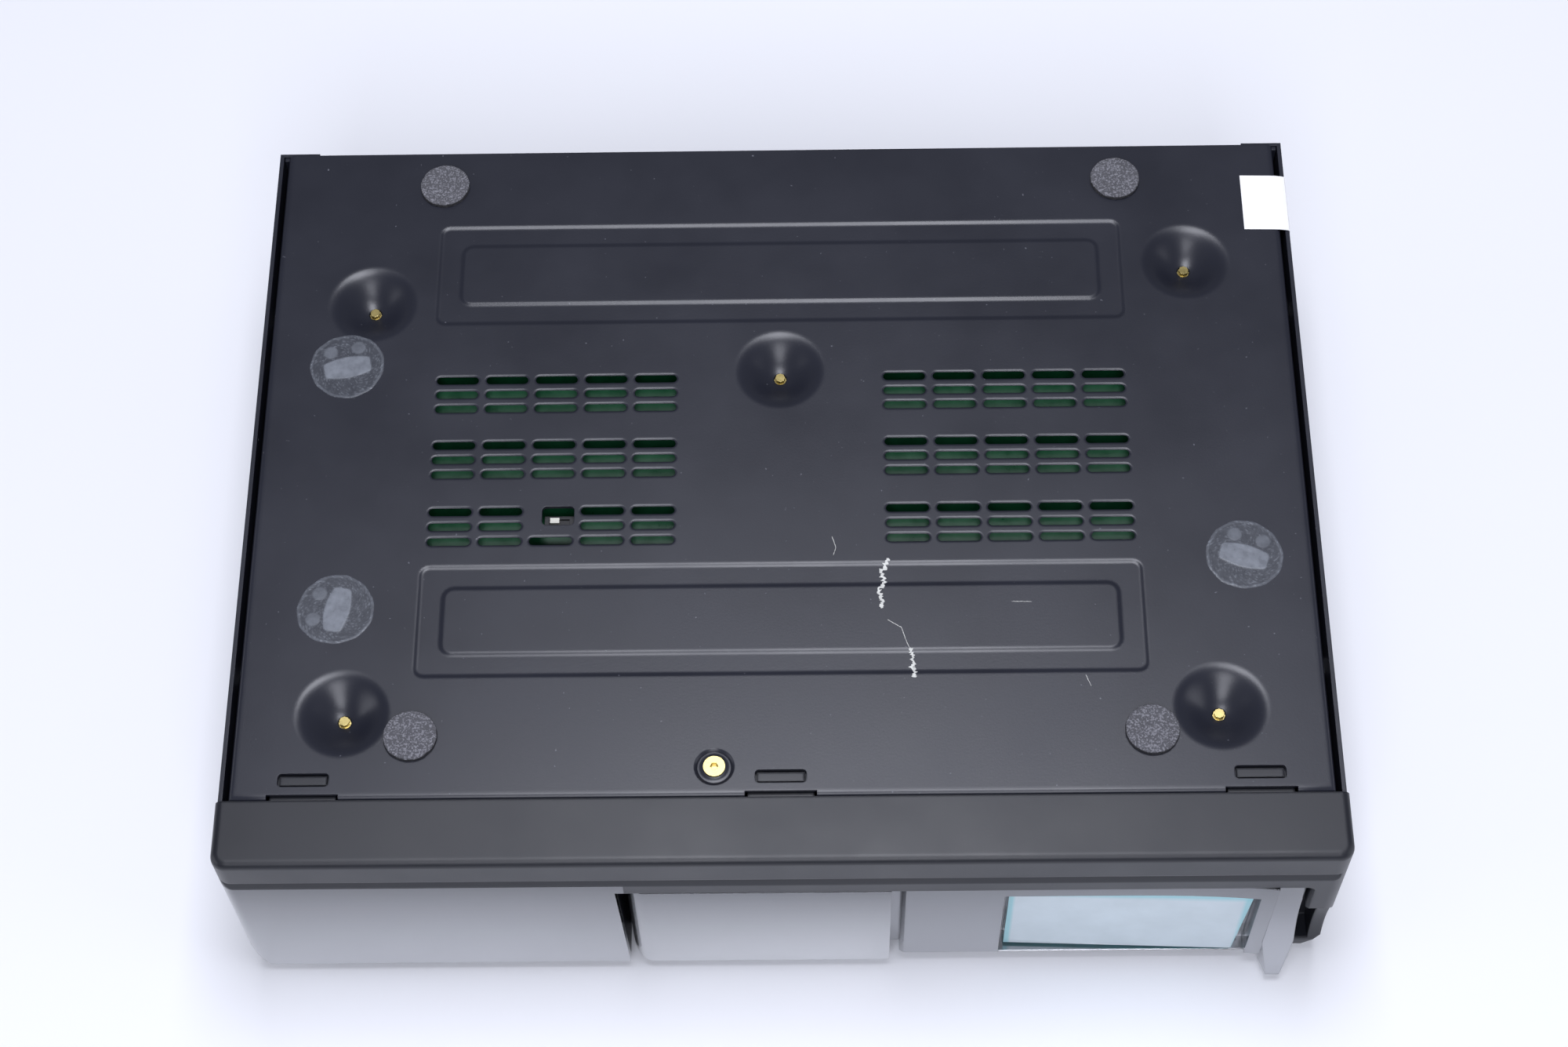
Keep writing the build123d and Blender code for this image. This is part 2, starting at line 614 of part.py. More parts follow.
with BuildPart() as rear_screws:
    for side in (-1, 1):
        for z in ear_rows:
            with BuildSketch(Plane((side * ear_x, rear_y + ear_thickness, z),
                                   x_dir=(1, 0, 0), z_dir=(0, 1, 0))):
                RegularPolygon(2.7, bar_sides)
            extrude(amount=screw_head)
            with BuildSketch(Plane((side * ear_x, rear_y + ear_thickness, z),
                                   x_dir=(1, 0, 0), z_dir=(0, 1, 0))):
                RegularPolygon(boss_screw, bar_sides)
            extrude(amount=-5)
            with Locations((side * ear_x, rear_y + rear_reach, z)):
                Box(3.4, 1.4, 0.8, mode=Mode.SUBTRACT)
rear_screws.part.label = "rear_screws"
export_step(rear_screws.part, "parts/rear_screws.step")

with BuildPart() as control_socket:
    with Locations((control_socket_x, rear_y, board_under)):
        Box(*control_socket_size, align=(Align.CENTER, Align.MAX, Align.MAX))
    with BuildSketch(Plane((control_socket_x, rear_y, board_under - control_socket_size[2] / 2),
                           x_dir=(1, 0, 0), z_dir=(0, 1, 0))):
        RegularPolygon(control_socket_bore, disc_sides)
    extrude(amount=-socket_hollow, mode=Mode.SUBTRACT)
control_socket.part.label = "control_socket"
export_step(control_socket.part, "parts/control_socket.step")

for socket_name, socket_x, size in (("av_socket", av_socket_x, av_socket_size),
                                    ("power_socket", power_socket_x, power_socket_size)):
    with BuildPart() as header:
        with Locations((socket_x, rear_y, board_under)):
            Box(*size, align=(Align.CENTER, Align.MAX, Align.MAX))
        with Locations((socket_x, rear_y, board_under - size[2] / 2)):
            Box(size[0] - 2 * socket_wall, 2 * socket_hollow, size[2] - 2 * socket_wall,
                mode=Mode.SUBTRACT)
        with Locations((socket_x, rear_y, board_under - size[2] + socket_wall)):
            Box(size[0] - 6 * socket_wall, socket_hollow + 1, 1.8,
                align=(Align.CENTER, Align.MAX, Align.MIN))
    header.part.label = socket_name
    export_step(header.part, f"parts/{socket_name}.step")

# ------------------------------------------------------------------ main board and its screws
chips = [(-62.0, 60.0, 22.0, 22.0, 2.2), (-18.0, 40.0, 14.0, 14.0, 1.8),
         (30.0, 62.0, 28.0, 14.0, 2.4), (70.0, 92.0, 12.0, 20.0, 2.0),
         (-70.0, 120.0, 18.0, 10.0, 2.4), (20.0, 126.0, 20.0, 20.0, 2.2)]
capacitors = [(60.0, 40.0), (70.0, 40.0), (-40.0, 92.0), (-32.0, 92.0), (46.0, 96.0)]
capacitor_radius = 3.2
capacitor_height = 5.4
switch_size = (7.0, 3.6, 2.6)
slider_size = (2.2, 1.4)
slider_height = 1.3
slider_travel = 2.0
screw_tip_z = plate_top - 4.0
dog_point = 1.2

with BuildPart() as main_board:
    with BuildSketch(Plane.XY.offset(board_under)):
        with Locations((0, from_rear((board_rear + board_front) / 2))):
            Rectangle(2 * board_half, board_front - board_rear)
        with Locations(*bowl_points):
            RegularPolygon(boss_screw + 0.15, bar_sides, mode=Mode.SUBTRACT)
    extrude(amount=board_thickness)
main_board.part.label = "main_board"
export_step(main_board.part, "parts/main_board.step")

with BuildPart() as board_components:
    for x, r, length_x, length_y, height in chips:
        with Locations((x, from_rear(r), board_under)):
            Box(length_x, length_y, height, align=(Align.CENTER, Align.CENTER, Align.MAX))
    with BuildSketch(Plane.XY.offset(board_under)):
        with Locations(*[(x, from_rear(r)) for x, r in capacitors]):
            RegularPolygon(capacitor_radius, bar_sides)
    extrude(amount=-capacitor_height)
board_components.part.label = "board_components"
export_step(board_components.part, "parts/board_components.step")

switch_seat = (switch_spot[0], from_rear(switch_spot[1]), board_top)
with BuildPart() as mode_switch_body:
    with Locations(switch_seat):
        Box(*switch_size, align=(Align.CENTER, Align.CENTER, Align.MIN))
    with Locations((switch_seat[0], switch_seat[1], board_top + switch_size[2])):
        Box(slider_size[0] + slider_travel + 2 * slip, slider_size[1] + 2 * slip, 1.2,
            mode=Mode.SUBTRACT)
mode_switch_body.part.label = "mode_switch_body"
export_step(mode_switch_body.part, "parts/mode_switch_body.step")

with BuildPart() as mode_switch_slider:
    with Locations((switch_seat[0] - slider_travel / 2, switch_seat[1],
                    board_top + switch_size[2] - 0.5)):
        Box(*slider_size, slider_height + 0.5, align=(Align.CENTER, Align.CENTER, Align.MIN))
mode_switch_slider.part.label = "mode_switch_slider"
export_step(mode_switch_slider.part, "parts/mode_switch_slider.step")

with BuildPart() as boss_screws:
    with Locations(*[(x, y, board_under) for x, y in bowl_points]):
        Box(4.6, 4.6, 2.0, align=(Align.CENTER, Align.CENTER, Align.MAX))
    for radius, tip in ((boss_screw, screw_tip_z - dog_point), (boss_screw - 0.3, screw_tip_z)):
        with BuildSketch(Plane.XY.offset(board_under)):
            with Locations(*bowl_points):
                RegularPolygon(radius, bar_sides)
        extrude(amount=tip - board_under)
boss_screws.part.label = "boss_screws"
export_step(boss_screws.part, "parts/boss_screws.step")

head_z = plate_top - dish_depth + ring_height
with BuildPart() as cover_screw:
    with Locations((cover_screw_x, cover_screw_y, head_z)):
        Cylinder(2.5, 0.7, align=(Align.CENTER, Align.CENTER, Align.MIN))
    with BuildSketch(Plane.XY.offset(head_z)):
        with Locations((cover_screw_x, cover_screw_y)):
            RegularPolygon(boss_screw, bar_sides)
    extrude(amount=-4.6)
    with BuildSketch(Plane.XY.offset(head_z + 0.7)):
        with Locations((cover_screw_x, cover_screw_y)):
            RegularPolygon(0.95, 6)
    extrude(amount=-1.2, mode=Mode.SUBTRACT)
cover_screw.part.label = "cover_screw"
export_step(cover_screw.part, "parts/cover_screw.step")

# ------------------------------------------------------------------ magazine and its six trays
tray_count = 6
tray_thickness = 2.2
disc_margin = 2.4        # from the disc's recess to the tray's edge
disc_recess = 0.6
tray_stroke = 10.0
magazine_width = tray_size[0] + 5.0
magazine_right = opening_right - 3.6
magazine_left = magazine_right - magazine_width
magazine_front = 10.5
magazine_rear = tray_front + tray_size[1] + 2.2
magazine_length = magazine_rear - magazine_front
magazine_low = 5.0
magazine_wall = 1.6
deck_gap = 3.4           # from the magazine up to the deck
pop_out = 25.0           # the magazine follows the door this far
deck_under = board_under - 8.3
magazine_height = deck_under - deck_gap - magazine_low
first_tray_z = magazine_low + magazine_wall + 2.6
tray_pitch = (magazine_height - 2 * magazine_wall - 8.8) / (tray_count - 1)
disc_radius = min(tray_size) / 2 - disc_margin
tray_left = magazine_left + 0.5
disc_x = tray_left + tray_size[0] / 2
disc_y = behind(tray_front + tray_size[1] / 2)
tray_levels = [first_tray_z + level * tray_pitch for level in range(tray_count)]
bay_front = tray_front - 0.7
bay_rear = tray_front + tray_size[1] + 0.7

with BuildPart() as magazine_case:
    with Locations((magazine_left, behind(magazine_front), magazine_low)):
        Box(magazine_width, magazine_length, magazine_height,
            align=(Align.MIN, Align.MIN, Align.MIN))
    chamfer(magazine_case.edges().filter_by(Axis.Z), 1.2)
    chamfer(magazine_case.faces().sort_by(Axis.Y)[0].edges(), 0.8)
    inner_height = magazine_height - 2 * magazine_wall
    with Locations((magazine_left - 1, behind(bay_front), magazine_low + magazine_wall)):
        Box(magazine_width + 1 - magazine_wall, bay_rear - bay_front, inner_height,
            align=(Align.MIN, Align.MIN, Align.MIN), mode=Mode.SUBTRACT)
    with Locations((magazine_left - 1, behind(magazine_front + 2),
                    magazine_low + magazine_wall)):
        Box(magazine_width + 1 - magazine_wall,
            bay_front - magazine_wall - magazine_front - 2, inner_height,
            align=(Align.MIN, Align.MIN, Align.MIN), mode=Mode.SUBTRACT)
    # grip ridges on the front end
    with BuildSketch(Plane.XZ.offset(-behind(magazine_front))):
        with Locations((magazine_left + magazine_width / 2, magazine_low + 9)):
            with GridLocations(1, 2.6, 1, 3):
                Rectangle(60, 1.2)
    extrude(amount=-0.8, mode=Mode.SUBTRACT)
    # ledges that carry the trays along their front and rear edges
    ledge_x = magazine_left + 2
    ledge_length = magazine_width - magazine_wall - 2
    for level in tray_levels:
        for edge_y, side in ((behind(bay_front), Align.MIN), (behind(bay_rear), Align.MAX)):
            with Locations((ledge_x, edge_y, level + tray_thickness + 0.1)):
                Box(ledge_length, 2.2, 0.8, align=(Align.MIN, side, Align.MIN))
magazine_case.part.label = "magazine_case"
export_step(magazine_case.part, "parts/magazine_case.step")

for number, level in enumerate(tray_levels, start=1):
    with BuildPart() as tray:
        with BuildSketch(Plane.XY.offset(level)) as tray_outline:
            with Locations((tray_left, behind(tray_front))):
                Rectangle(*tray_size, align=(Align.MIN, Align.MIN))
            left_corners = tray_outline.vertices().group_by(Axis.X)[0].sort_by(Axis.Y)
            chamfer(left_corners[0], 11)
            left_corners = tray_outline.vertices().group_by(Axis.X)[0].sort_by(Axis.Y)
            chamfer(left_corners[-1], 4)
            with Locations((tray_left - 1, disc_y)):
                Rectangle(tray_size[0] / 2 + 1, 46, align=(Align.MIN, Align.CENTER),
                          mode=Mode.SUBTRACT)
            with Locations((disc_x, disc_y)):
                RegularPolygon(23, disc_sides, mode=Mode.SUBTRACT)
        extrude(amount=tray_thickness)
        with BuildSketch(Plane.XY.offset(level)):
            with Locations((disc_x, disc_y)):
                RegularPolygon(disc_radius, disc_sides, major_radius=False)
        extrude(amount=disc_recess, mode=Mode.SUBTRACT)
    tray.part.label = f"tray_{number}"
    export_step(tray.part, f"parts/tray_{number}.step")

# ------------------------------------------------------------------ deck that carries the works
deck_thickness = 1.2
deck_left = 8.3 - wall_x
deck_right = wall_x - 7.5
deck_front = 20.0        # depth of the deck's front edge
deck_rear = magazine_rear + 9.5
lift_width = 81.0
lift_left = deck_left + 6.2
lift_right = lift_left + lift_width
deck_wall_low = 4.0
damper_x = wall_x - 13.5
damper_spots = [(side * damper_x, depth) for side in (-1, 1) for depth in (50.0, deck_rear + 8)]
damper_radius = 5.5
post_radius = 2.0
post_spots = [(lift_left + 12, 38.0), (lift_left + 12, deck_rear - 12), (lift_right - 7, 40.0)]
lift_travel = (tray_count - 1) * tray_pitch
lift_pin = 1.5
pin_slot = 2 * lift_pin + 2 * slip
lift_pin_depths = (60.0, deck_rear - 30)
lift_pin_z = first_tray_z + 3.0
stud_z = deck_under - 3.2
stud_depths = (70.0, deck_rear - 20)
lever_pivot = (magazine_right - 17, deck_rear + 8)
lever_tip = (magazine_right - 57, magazine_rear + 4.5)
lever_low = 18.0
lever_thickness = 3.0
deck_top = deck_under + deck_thickness
deck_window = (70.0, 96.0)         # openings over the lift and over the magazine
window_spots = (lift_left + 46, magazine_left + 71)

with BuildPart() as deck_frame:
    with BuildSketch(Plane.XY.offset(deck_under)):
        with Locations((deck_left, behind(deck_front))):
            Rectangle(deck_right - deck_left, deck_rear - deck_front,
                      align=(Align.MIN, Align.MIN))
        for side, edge in ((Align.MIN, deck_left), (Align.MAX, deck_right)):
            with Locations((edge, behind(deck_rear) - 1)):
                Rectangle(24, 17, align=(side, Align.MIN))
        with Locations(*[(x, behind(96.0)) for x in window_spots]):
            Rectangle(*deck_window, mode=Mode.SUBTRACT)
    extrude(amount=deck_thickness)
    with Locations((deck_left, behind(30.0), deck_wall_low)):
        Box(deck_thickness, deck_rear - 30.0, deck_under - deck_wall_low,
            align=(Align.MIN, Align.MIN, Align.MIN))
    for depth in lift_pin_depths:
        with BuildSketch(Plane.YZ.offset(deck_left - 1)):
            with Locations((behind(depth), lift_pin_z + lift_travel / 2)):
                Rectangle(pin_slot, lift_travel + pin_slot)
        extrude(amount=deck_thickness + 2, mode=Mode.SUBTRACT)
    for depth in stud_depths:
        with BuildSketch(Plane.YZ.offset(deck_left)):
            with Locations((behind(depth), stud_z)):
                RegularPolygon(1.3, bar_sides)
        extrude(amount=-2.0)
    for x, depth in post_spots:
        with Locations((x, behind(depth), deck_under)):
            Box(7.0, 7.0, 1.6, align=(Align.CENTER, Align.CENTER, Align.MIN))
deck_frame.part.label = "deck_frame"
export_step(deck_frame.part, "parts/deck_frame.step")

free_height = plate_under - deck_top
with BuildPart() as dampers:
    damper_points = [(x, behind(depth)) for x, depth in damper_spots]
    for radius, low, high in ((damper_radius, 0, 2.4), (damper_radius - 1.6, 2.4, free_height - 2.4),
                              (damper_radius, free_height - 2.4, free_height)):
        with BuildSketch(Plane.XY.offset(deck_top + low)):
            with Locations(*damper_points):
                RegularPolygon(radius, bar_sides)
        extrude(amount=high - low)
dampers.part.label = "dampers"
export_step(dampers.part, "parts/dampers.step")

with BuildPart() as lift_posts:
    with BuildSketch(Plane.XY.offset(deck_wall_low)):
        with Locations(*[(x, behind(depth)) for x, depth in post_spots]):
            RegularPolygon(post_radius, bar_sides)
    extrude(amount=deck_under - deck_wall_low)
lift_posts.part.label = "lift_posts"
export_step(lift_posts.part, "parts/lift_posts.step")

cradle_floor = 1.4
with BuildPart() as magazine_cradle:
    cradle_left = magazine_left + 1
    with Locations((cradle_left, behind(deck_front), magazine_low - slip - cradle_floor)):
        Box(deck_right - cradle_left, magazine_rear + 4 - deck_front, cradle_floor,
            align=(Align.MIN, Align.MIN, Align.MIN))
    with Locations((deck_right, behind(deck_front), magazine_low - slip - cradle_floor)):
        Box(deck_right - magazine_right - slip, magazine_rear + 4 - deck_front,
            deck_under - magazine_low + slip + cradle_floor,
            align=(Align.MAX, Align.MIN, Align.MIN))
    rail_low = magazine_low + magazine_height + slip
    for rail_x in (magazine_left + 6, magazine_right - 12):
        with Locations((rail_x, behind(deck_front), rail_low)):
            Box(6.0, magazine_length, deck_under - rail_low,
                align=(Align.MIN, Align.MIN, Align.MIN))
magazine_cradle.part.label = "magazine_cradle"
export_step(magazine_cradle.part, "parts/magazine_cradle.step")

with BuildPart() as eject_post:
    with Locations((lever_pivot[0], behind(lever_pivot[1]), lever_low - 1.5)):
        Cylinder(post_radius, deck_under - lever_low + 1.5,
                 align=(Align.CENTER, Align.CENTER, Align.MIN))
eject_post.part.label = "eject_post"
export_step(eject_post.part, "parts/eject_post.step")

with BuildPart() as eject_lever:
    lever_turn = degrees(atan2(lever_tip[1] - lever_pivot[1], lever_tip[0] - lever_pivot[0]))
    lever_length = hypot(lever_tip[0] - lever_pivot[0], lever_tip[1] - lever_pivot[1])
    with BuildSketch(Plane.XY.offset(lever_low)):
        with Locations(Location((lever_pivot[0], behind(lever_pivot[1])), lever_turn)):
            RegularPolygon(5.0, bar_sides)
            with Locations((lever_length / 2, 0)):
                Rectangle(lever_length, 4.0)
            with Locations((lever_length, 0)):
                RegularPolygon(2.0, bar_sides)
            RegularPolygon(round_bore(post_radius + running), bar_sides, mode=Mode.SUBTRACT)
    extrude(amount=lever_thickness)
eject_lever.part.label = "eject_lever"
export_step(eject_lever.part, "parts/eject_lever.step")

# ------------------------------------------------------------------ lift with the player
lift_front = 32.0
lift_rear = deck_rear - 4
lift_plate = first_tray_z + 6.2
lift_sheet = 1.2
spindle_x = lift_left + 54
motor_radius = 11.0
spindle_radius = 1.0
turntable_radius = 13.0
hub_radius = 7.3
rod_radius = 1.5
rod_xs = (spindle_x - 14, spindle_x + 14)
rod_z = first_tray_z + 4.2
rod_front = tray_front + tray_size[1] / 2 + 7.5
rod_rear = lift_rear - 2
sled_size = (34.0, 18.0)
sled_home = rod_front + 18         # depth of the sled's middle at the inner track
sled_travel = 30.0
screw_x = spindle_x + 21.4
screw_radius = 1.3
arm_width = 16.0
arm_pivot_depth = lift_rear - 4.5
arm_pivot_z = first_tray_z - 3.0
arm_pin = 1.2
puck_radius = 12.0
puck_pin = 3.0
spindle_y = disc_y
disc_seat_z = first_tray_z - 0.2   # the turntable's face, which lifts a disc clear of its tray
block_length = 3.0

with BuildPart() as lift_frame:
    with BuildSketch(Plane.XY.offset(lift_plate)):
        with Locations((lift_left, behind(lift_front))):
            Rectangle(lift_right - lift_left, lift_rear - lift_front,
                      align=(Align.MIN, Align.MIN))
        with Locations(((rod_xs[0] + rod_xs[1]) / 2, behind(rod_front + block_length))):
            Rectangle(sled_size[0] + 2, rod_rear - rod_front - 2 * block_length,
                      align=(Align.CENTER, Align.MIN), mode=Mode.SUBTRACT)
        with Locations((spindle_x, spindle_y)):
            RegularPolygon(3.0, bar_sides, mode=Mode.SUBTRACT)
        with Locations(*[(x, behind(depth)) for x, depth in post_spots]):
            RegularPolygon(post_radius + running, bar_sides, mode=Mode.SUBTRACT)
    extrude(amount=lift_sheet)
    with BuildSketch(Plane.XY.offset(lift_plate)):
        with Locations(*[(x, behind(depth)) for x, depth in post_spots]):
            RegularPolygon(post_radius + 1.6, bar_sides)
            RegularPolygon(post_radius + running, bar_sides, mode=Mode.SUBTRACT)
    extrude(amount=-4.0)
    flange_low = first_tray_z - 5.4
    with Locations((lift_left, behind(lift_rear), flange_low)):
        Box(lift_right - lift_left, lift_sheet, lift_plate - flange_low,
            align=(Align.MIN, Align.MAX, Align.MIN))
    with Locations((lift_left, behind(lift_front), first_tray_z - 1)):
        Box(lift_sheet, lift_rear - lift_front, lift_plate - first_tray_z + 1,
            align=(Align.MIN, Align.MIN, Align.MIN))
    for depth in lift_pin_depths:
        with BuildSketch(Plane.YZ.offset(lift_left)):
            with Locations((behind(depth), lift_pin_z)):
                RegularPolygon(lift_pin, bar_sides)
        extrude(amount=-9.0)
    for rod_x in (*rod_xs, screw_x):
        for depth in (rod_front, rod_rear - block_length):
            with Locations((rod_x, behind(depth), lift_plate)):
                Box(4.6, block_length, lift_plate - rod_z + 2.4,
                    align=(Align.CENTER, Align.MIN, Align.MAX))
        with BuildSketch(Plane.XZ.offset(-behind(rod_front - 1))):
            with Locations((rod_x, rod_z)):
                RegularPolygon(rod_radius if rod_x in rod_xs
                               else round_bore(screw_radius + running), bar_sides)
        extrude(amount=-(rod_rear - rod_front + 1.5), mode=Mode.SUBTRACT)
    for side in (-1, 1):
        with Locations((spindle_x + side * (arm_width / 2 + 2.4), behind(arm_pivot_depth - 2),
                        arm_pivot_z)):
            Box(1.4, lift_rear - arm_pivot_depth + 2, 4.4,
                align=(Align.CENTER, Align.MIN, Align.CENTER))
    with BuildSketch(Plane.YZ.offset(spindle_x - arm_width)):
        with Locations((behind(arm_pivot_depth), arm_pivot_z)):
            RegularPolygon(round_bore(arm_pin), bar_sides)
    extrude(amount=2 * arm_width, mode=Mode.SUBTRACT)
lift_frame.part.label = "lift_frame"
export_step(lift_frame.part, "parts/lift_frame.step")

with BuildPart() as arm_pivot_pin:
    with BuildSketch(Plane.YZ.offset(spindle_x - arm_width / 2 - 3.2)):
        with Locations((behind(arm_pivot_depth), arm_pivot_z)):
            Circle(arm_pin)
    extrude(amount=arm_width + 6.4)
arm_pivot_pin.part.label = "arm_pivot_pin"
export_step(arm_pivot_pin.part, "parts/arm_pivot_pin.step")

with BuildPart() as guide_rods:
    with BuildSketch(Plane.XZ.offset(-behind(rod_front))):
        with Locations(*[(x, rod_z) for x in rod_xs]):
            RegularPolygon(rod_radius, bar_sides)
    extrude(amount=-(rod_rear - rod_front))
guide_rods.part.label = "guide_rods"
export_step(guide_rods.part, "parts/guide_rods.step")

with BuildPart() as feed_screw:
    with BuildSketch(Plane.XZ.offset(-behind(rod_front))):
        with Locations((screw_x, rod_z)):
            Circle(screw_radius)
    extrude(amount=-(rod_rear - rod_front))
feed_screw.part.label = "feed_screw"
export_step(feed_screw.part, "parts/feed_screw.step")

with BuildPart() as feed_motor:
    with BuildSketch(Plane.XZ.offset(-behind(rod_front - 0.4))):
        with Locations((screw_x - 1.0, rod_z - 1.0)):
            RegularPolygon(3.0, bar_sides)
    extrude(amount=11.0)
feed_motor.part.label = "feed_motor"
export_step(feed_motor.part, "parts/feed_motor.step")

with BuildPart() as pickup_sled:
    sled_low = first_tray_z + 1.6
    with Locations(((rod_xs[0] + rod_xs[1]) / 2, behind(sled_home), sled_low)):
        Box(sled_size[0], sled_size[1], 7.2, align=(Align.CENTER, Align.CENTER, Align.MIN))
    with Locations((screw_x - 1.0, behind(sled_home), sled_low)):
        Box(7.0, 8.0, 4.4, align=(Align.CENTER, Align.CENTER, Align.MIN))
    with BuildSketch(Plane.XZ.offset(-behind(sled_home - sled_size[1]))):
        with Locations(*[(x, rod_z) for x in rod_xs]):
            RegularPolygon(rod_radius + running, bar_sides)
        with Locations((screw_x, rod_z)):
            RegularPolygon(round_bore(screw_radius + running), bar_sides)
    extrude(amount=-2 * sled_size[1], mode=Mode.SUBTRACT)
    with Locations(((rod_xs[0] + rod_xs[1]) / 2, behind(sled_home), sled_low)):
        Hole(3.0, depth=1.0)
pickup_sled.part.label = "pickup_sled"
export_step(pickup_sled.part, "parts/pickup_sled.step")

with BuildPart() as pickup_lens:
    with Locations(((rod_xs[0] + rod_xs[1]) / 2, behind(sled_home), sled_low + 1.0)):
        Cone(1.9, 2.6, 1.3, align=(Align.CENTER, Align.CENTER, Align.MAX))
pickup_lens.part.label = "pickup_lens"
export_step(pickup_lens.part, "parts/pickup_lens.step")

with BuildPart() as spindle_motor:
    motor_z = lift_plate + lift_sheet
    with BuildSketch(Plane.XY.offset(motor_z)):
        with Locations((spindle_x, spindle_y)):
            RegularPolygon(motor_radius, disc_sides)
    extrude(amount=3.0)
    with Locations((spindle_x, spindle_y, motor_z)):
        Cylinder(spindle_radius, motor_z - first_tray_z + 1.0,
                 align=(Align.CENTER, Align.CENTER, Align.MAX))
spindle_motor.part.label = "spindle_motor"
export_step(spindle_motor.part, "parts/spindle_motor.step")

with BuildPart() as turntable:
    for radius, low, high in ((turntable_radius, 0, 3.2), (hub_radius, -1.0, 0),
                              (hub_radius - 1.2, -2.2, -1.0)):
        with BuildSketch(Plane.XY.offset(disc_seat_z + low)):
            with Locations((spindle_x, spindle_y)):
                RegularPolygon(radius, disc_sides)
        extrude(amount=high - low)
        with BuildSketch(Plane.XY.offset(disc_seat_z + low)):
            with Locations((spindle_x, spindle_y)):
                RegularPolygon(round_bore(spindle_radius + running), bar_sides)
        extrude(amount=high - low, mode=Mode.SUBTRACT)
turntable.part.label = "turntable"
export_step(turntable.part, "parts/turntable.step")

with BuildPart() as clamp_arm:
    arm_low = first_tray_z - 6.2
    with Locations((spindle_x, behind(arm_pivot_depth - 2.4), arm_low)):
        Box(arm_width, arm_pivot_depth - 2.4 - tray_front - tray_size[1] / 2 + 12, lift_sheet,
            align=(Align.CENTER, Align.MAX, Align.MIN))
    for side in (-1, 1):
        with Locations((spindle_x + side * (arm_width / 2 - 0.6), behind(arm_pivot_depth - 6),
                        arm_low)):
            Box(1.2, 8.0, arm_pivot_z - arm_low + 2.2,
                align=(Align.CENTER, Align.MIN, Align.MIN))
    with BuildSketch(Plane.YZ.offset(spindle_x - arm_width)):
        with Locations((behind(arm_pivot_depth), arm_pivot_z)):
            RegularPolygon(round_bore(arm_pin + running), bar_sides)
    extrude(amount=2 * arm_width, mode=Mode.SUBTRACT)
    with BuildSketch(Plane.XY.offset(arm_low)):
        with Locations((spindle_x, spindle_y)):
            RegularPolygon(round_bore(puck_pin + running), bar_sides)
    extrude(amount=lift_sheet, mode=Mode.SUBTRACT)
clamp_arm.part.label = "clamp_arm"
export_step(clamp_arm.part, "parts/clamp_arm.step")

with BuildPart() as clamper:
    puck_low = arm_low + lift_sheet + 0.1
    with BuildSketch(Plane.XY.offset(puck_low)):
        with Locations((spindle_x, spindle_y)):
            RegularPolygon(puck_radius, disc_sides)
    extrude(amount=2.4)
    with Locations((spindle_x, spindle_y, puck_low)):
        Cylinder(puck_pin, 1.4, align=(Align.CENTER, Align.CENTER, Align.MAX))
    with BuildSketch(Plane.XY.offset(puck_low + 0.5)):
        with Locations((spindle_x, spindle_y)):
            RegularPolygon(hub_radius + 0.8, disc_sides)
    extrude(amount=3.0, mode=Mode.SUBTRACT)
clamper.part.label = "clamper"
export_step(clamper.part, "parts/clamper.step")

# ------------------------------------------------------------------ cam plate that raises the lift
cam_sheet = 1.0
cam_front = 52.0
cam_rear = deck_rear + 12
cam_low = 5.0
cam_high = deck_under - 0.8
cam_outer = deck_left - 0.5
with BuildPart() as cam_plate:
    with BuildSketch(Plane.YZ.offset(cam_outer)):
        with Locations((behind(cam_front), cam_low)):
            Rectangle(cam_rear - cam_front, cam_high - cam_low, align=(Align.MIN, Align.MIN))
        for depth in lift_pin_depths:
            middle = (behind(depth + lift_travel / 2), lift_pin_z + lift_travel / 2)
            with Locations(middle):
                Rectangle(lift_travel * sqrt(2) + pin_slot, pin_slot, rotation=45,
                          mode=Mode.SUBTRACT)
        for depth in stud_depths:
            with Locations((behind(depth + lift_travel / 2), stud_z)):
                Rectangle(lift_travel + 2.6 + 2 * slip, 2.6 + 2 * slip, mode=Mode.SUBTRACT)
    extrude(amount=-cam_sheet)
cam_plate.part.label = "cam_plate"
export_step(cam_plate.part, "parts/cam_plate.step")

lift_motor_z = deck_under - 12.4
with BuildPart() as lift_motor:
    with BuildSketch(Plane.YZ.offset(lift_left)):
        with Locations((behind(deck_rear + 10.5), lift_motor_z)):
            RegularPolygon(8.5, disc_sides)
    extrude(amount=22)
    with Locations((lift_left + 11, behind(deck_rear + 10.5), lift_motor_z + 8)):
        Box(14, 10, deck_under - lift_motor_z - 8,
            align=(Align.CENTER, Align.CENTER, Align.MIN))
lift_motor.part.label = "lift_motor"
export_step(lift_motor.part, "parts/lift_motor.step")
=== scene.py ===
# %% [markdown]
# # A six-disc changer lying on its top cover
#
# The part is a black steel case with a moulded front. It lies upside down on a pale table, so
# the vented base plate is what the camera sees. The CAD solids are already at their real size
# and place, so this script only does the looks: the light, a finish for every solid, and the
# few pieces whose shape needs more than the plain solid has.

# %% Load the frame
import json
from math import radians, tau

import bpy
import numpy as np
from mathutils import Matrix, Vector
from mathutils.geometry import delaunay_2d_cdt


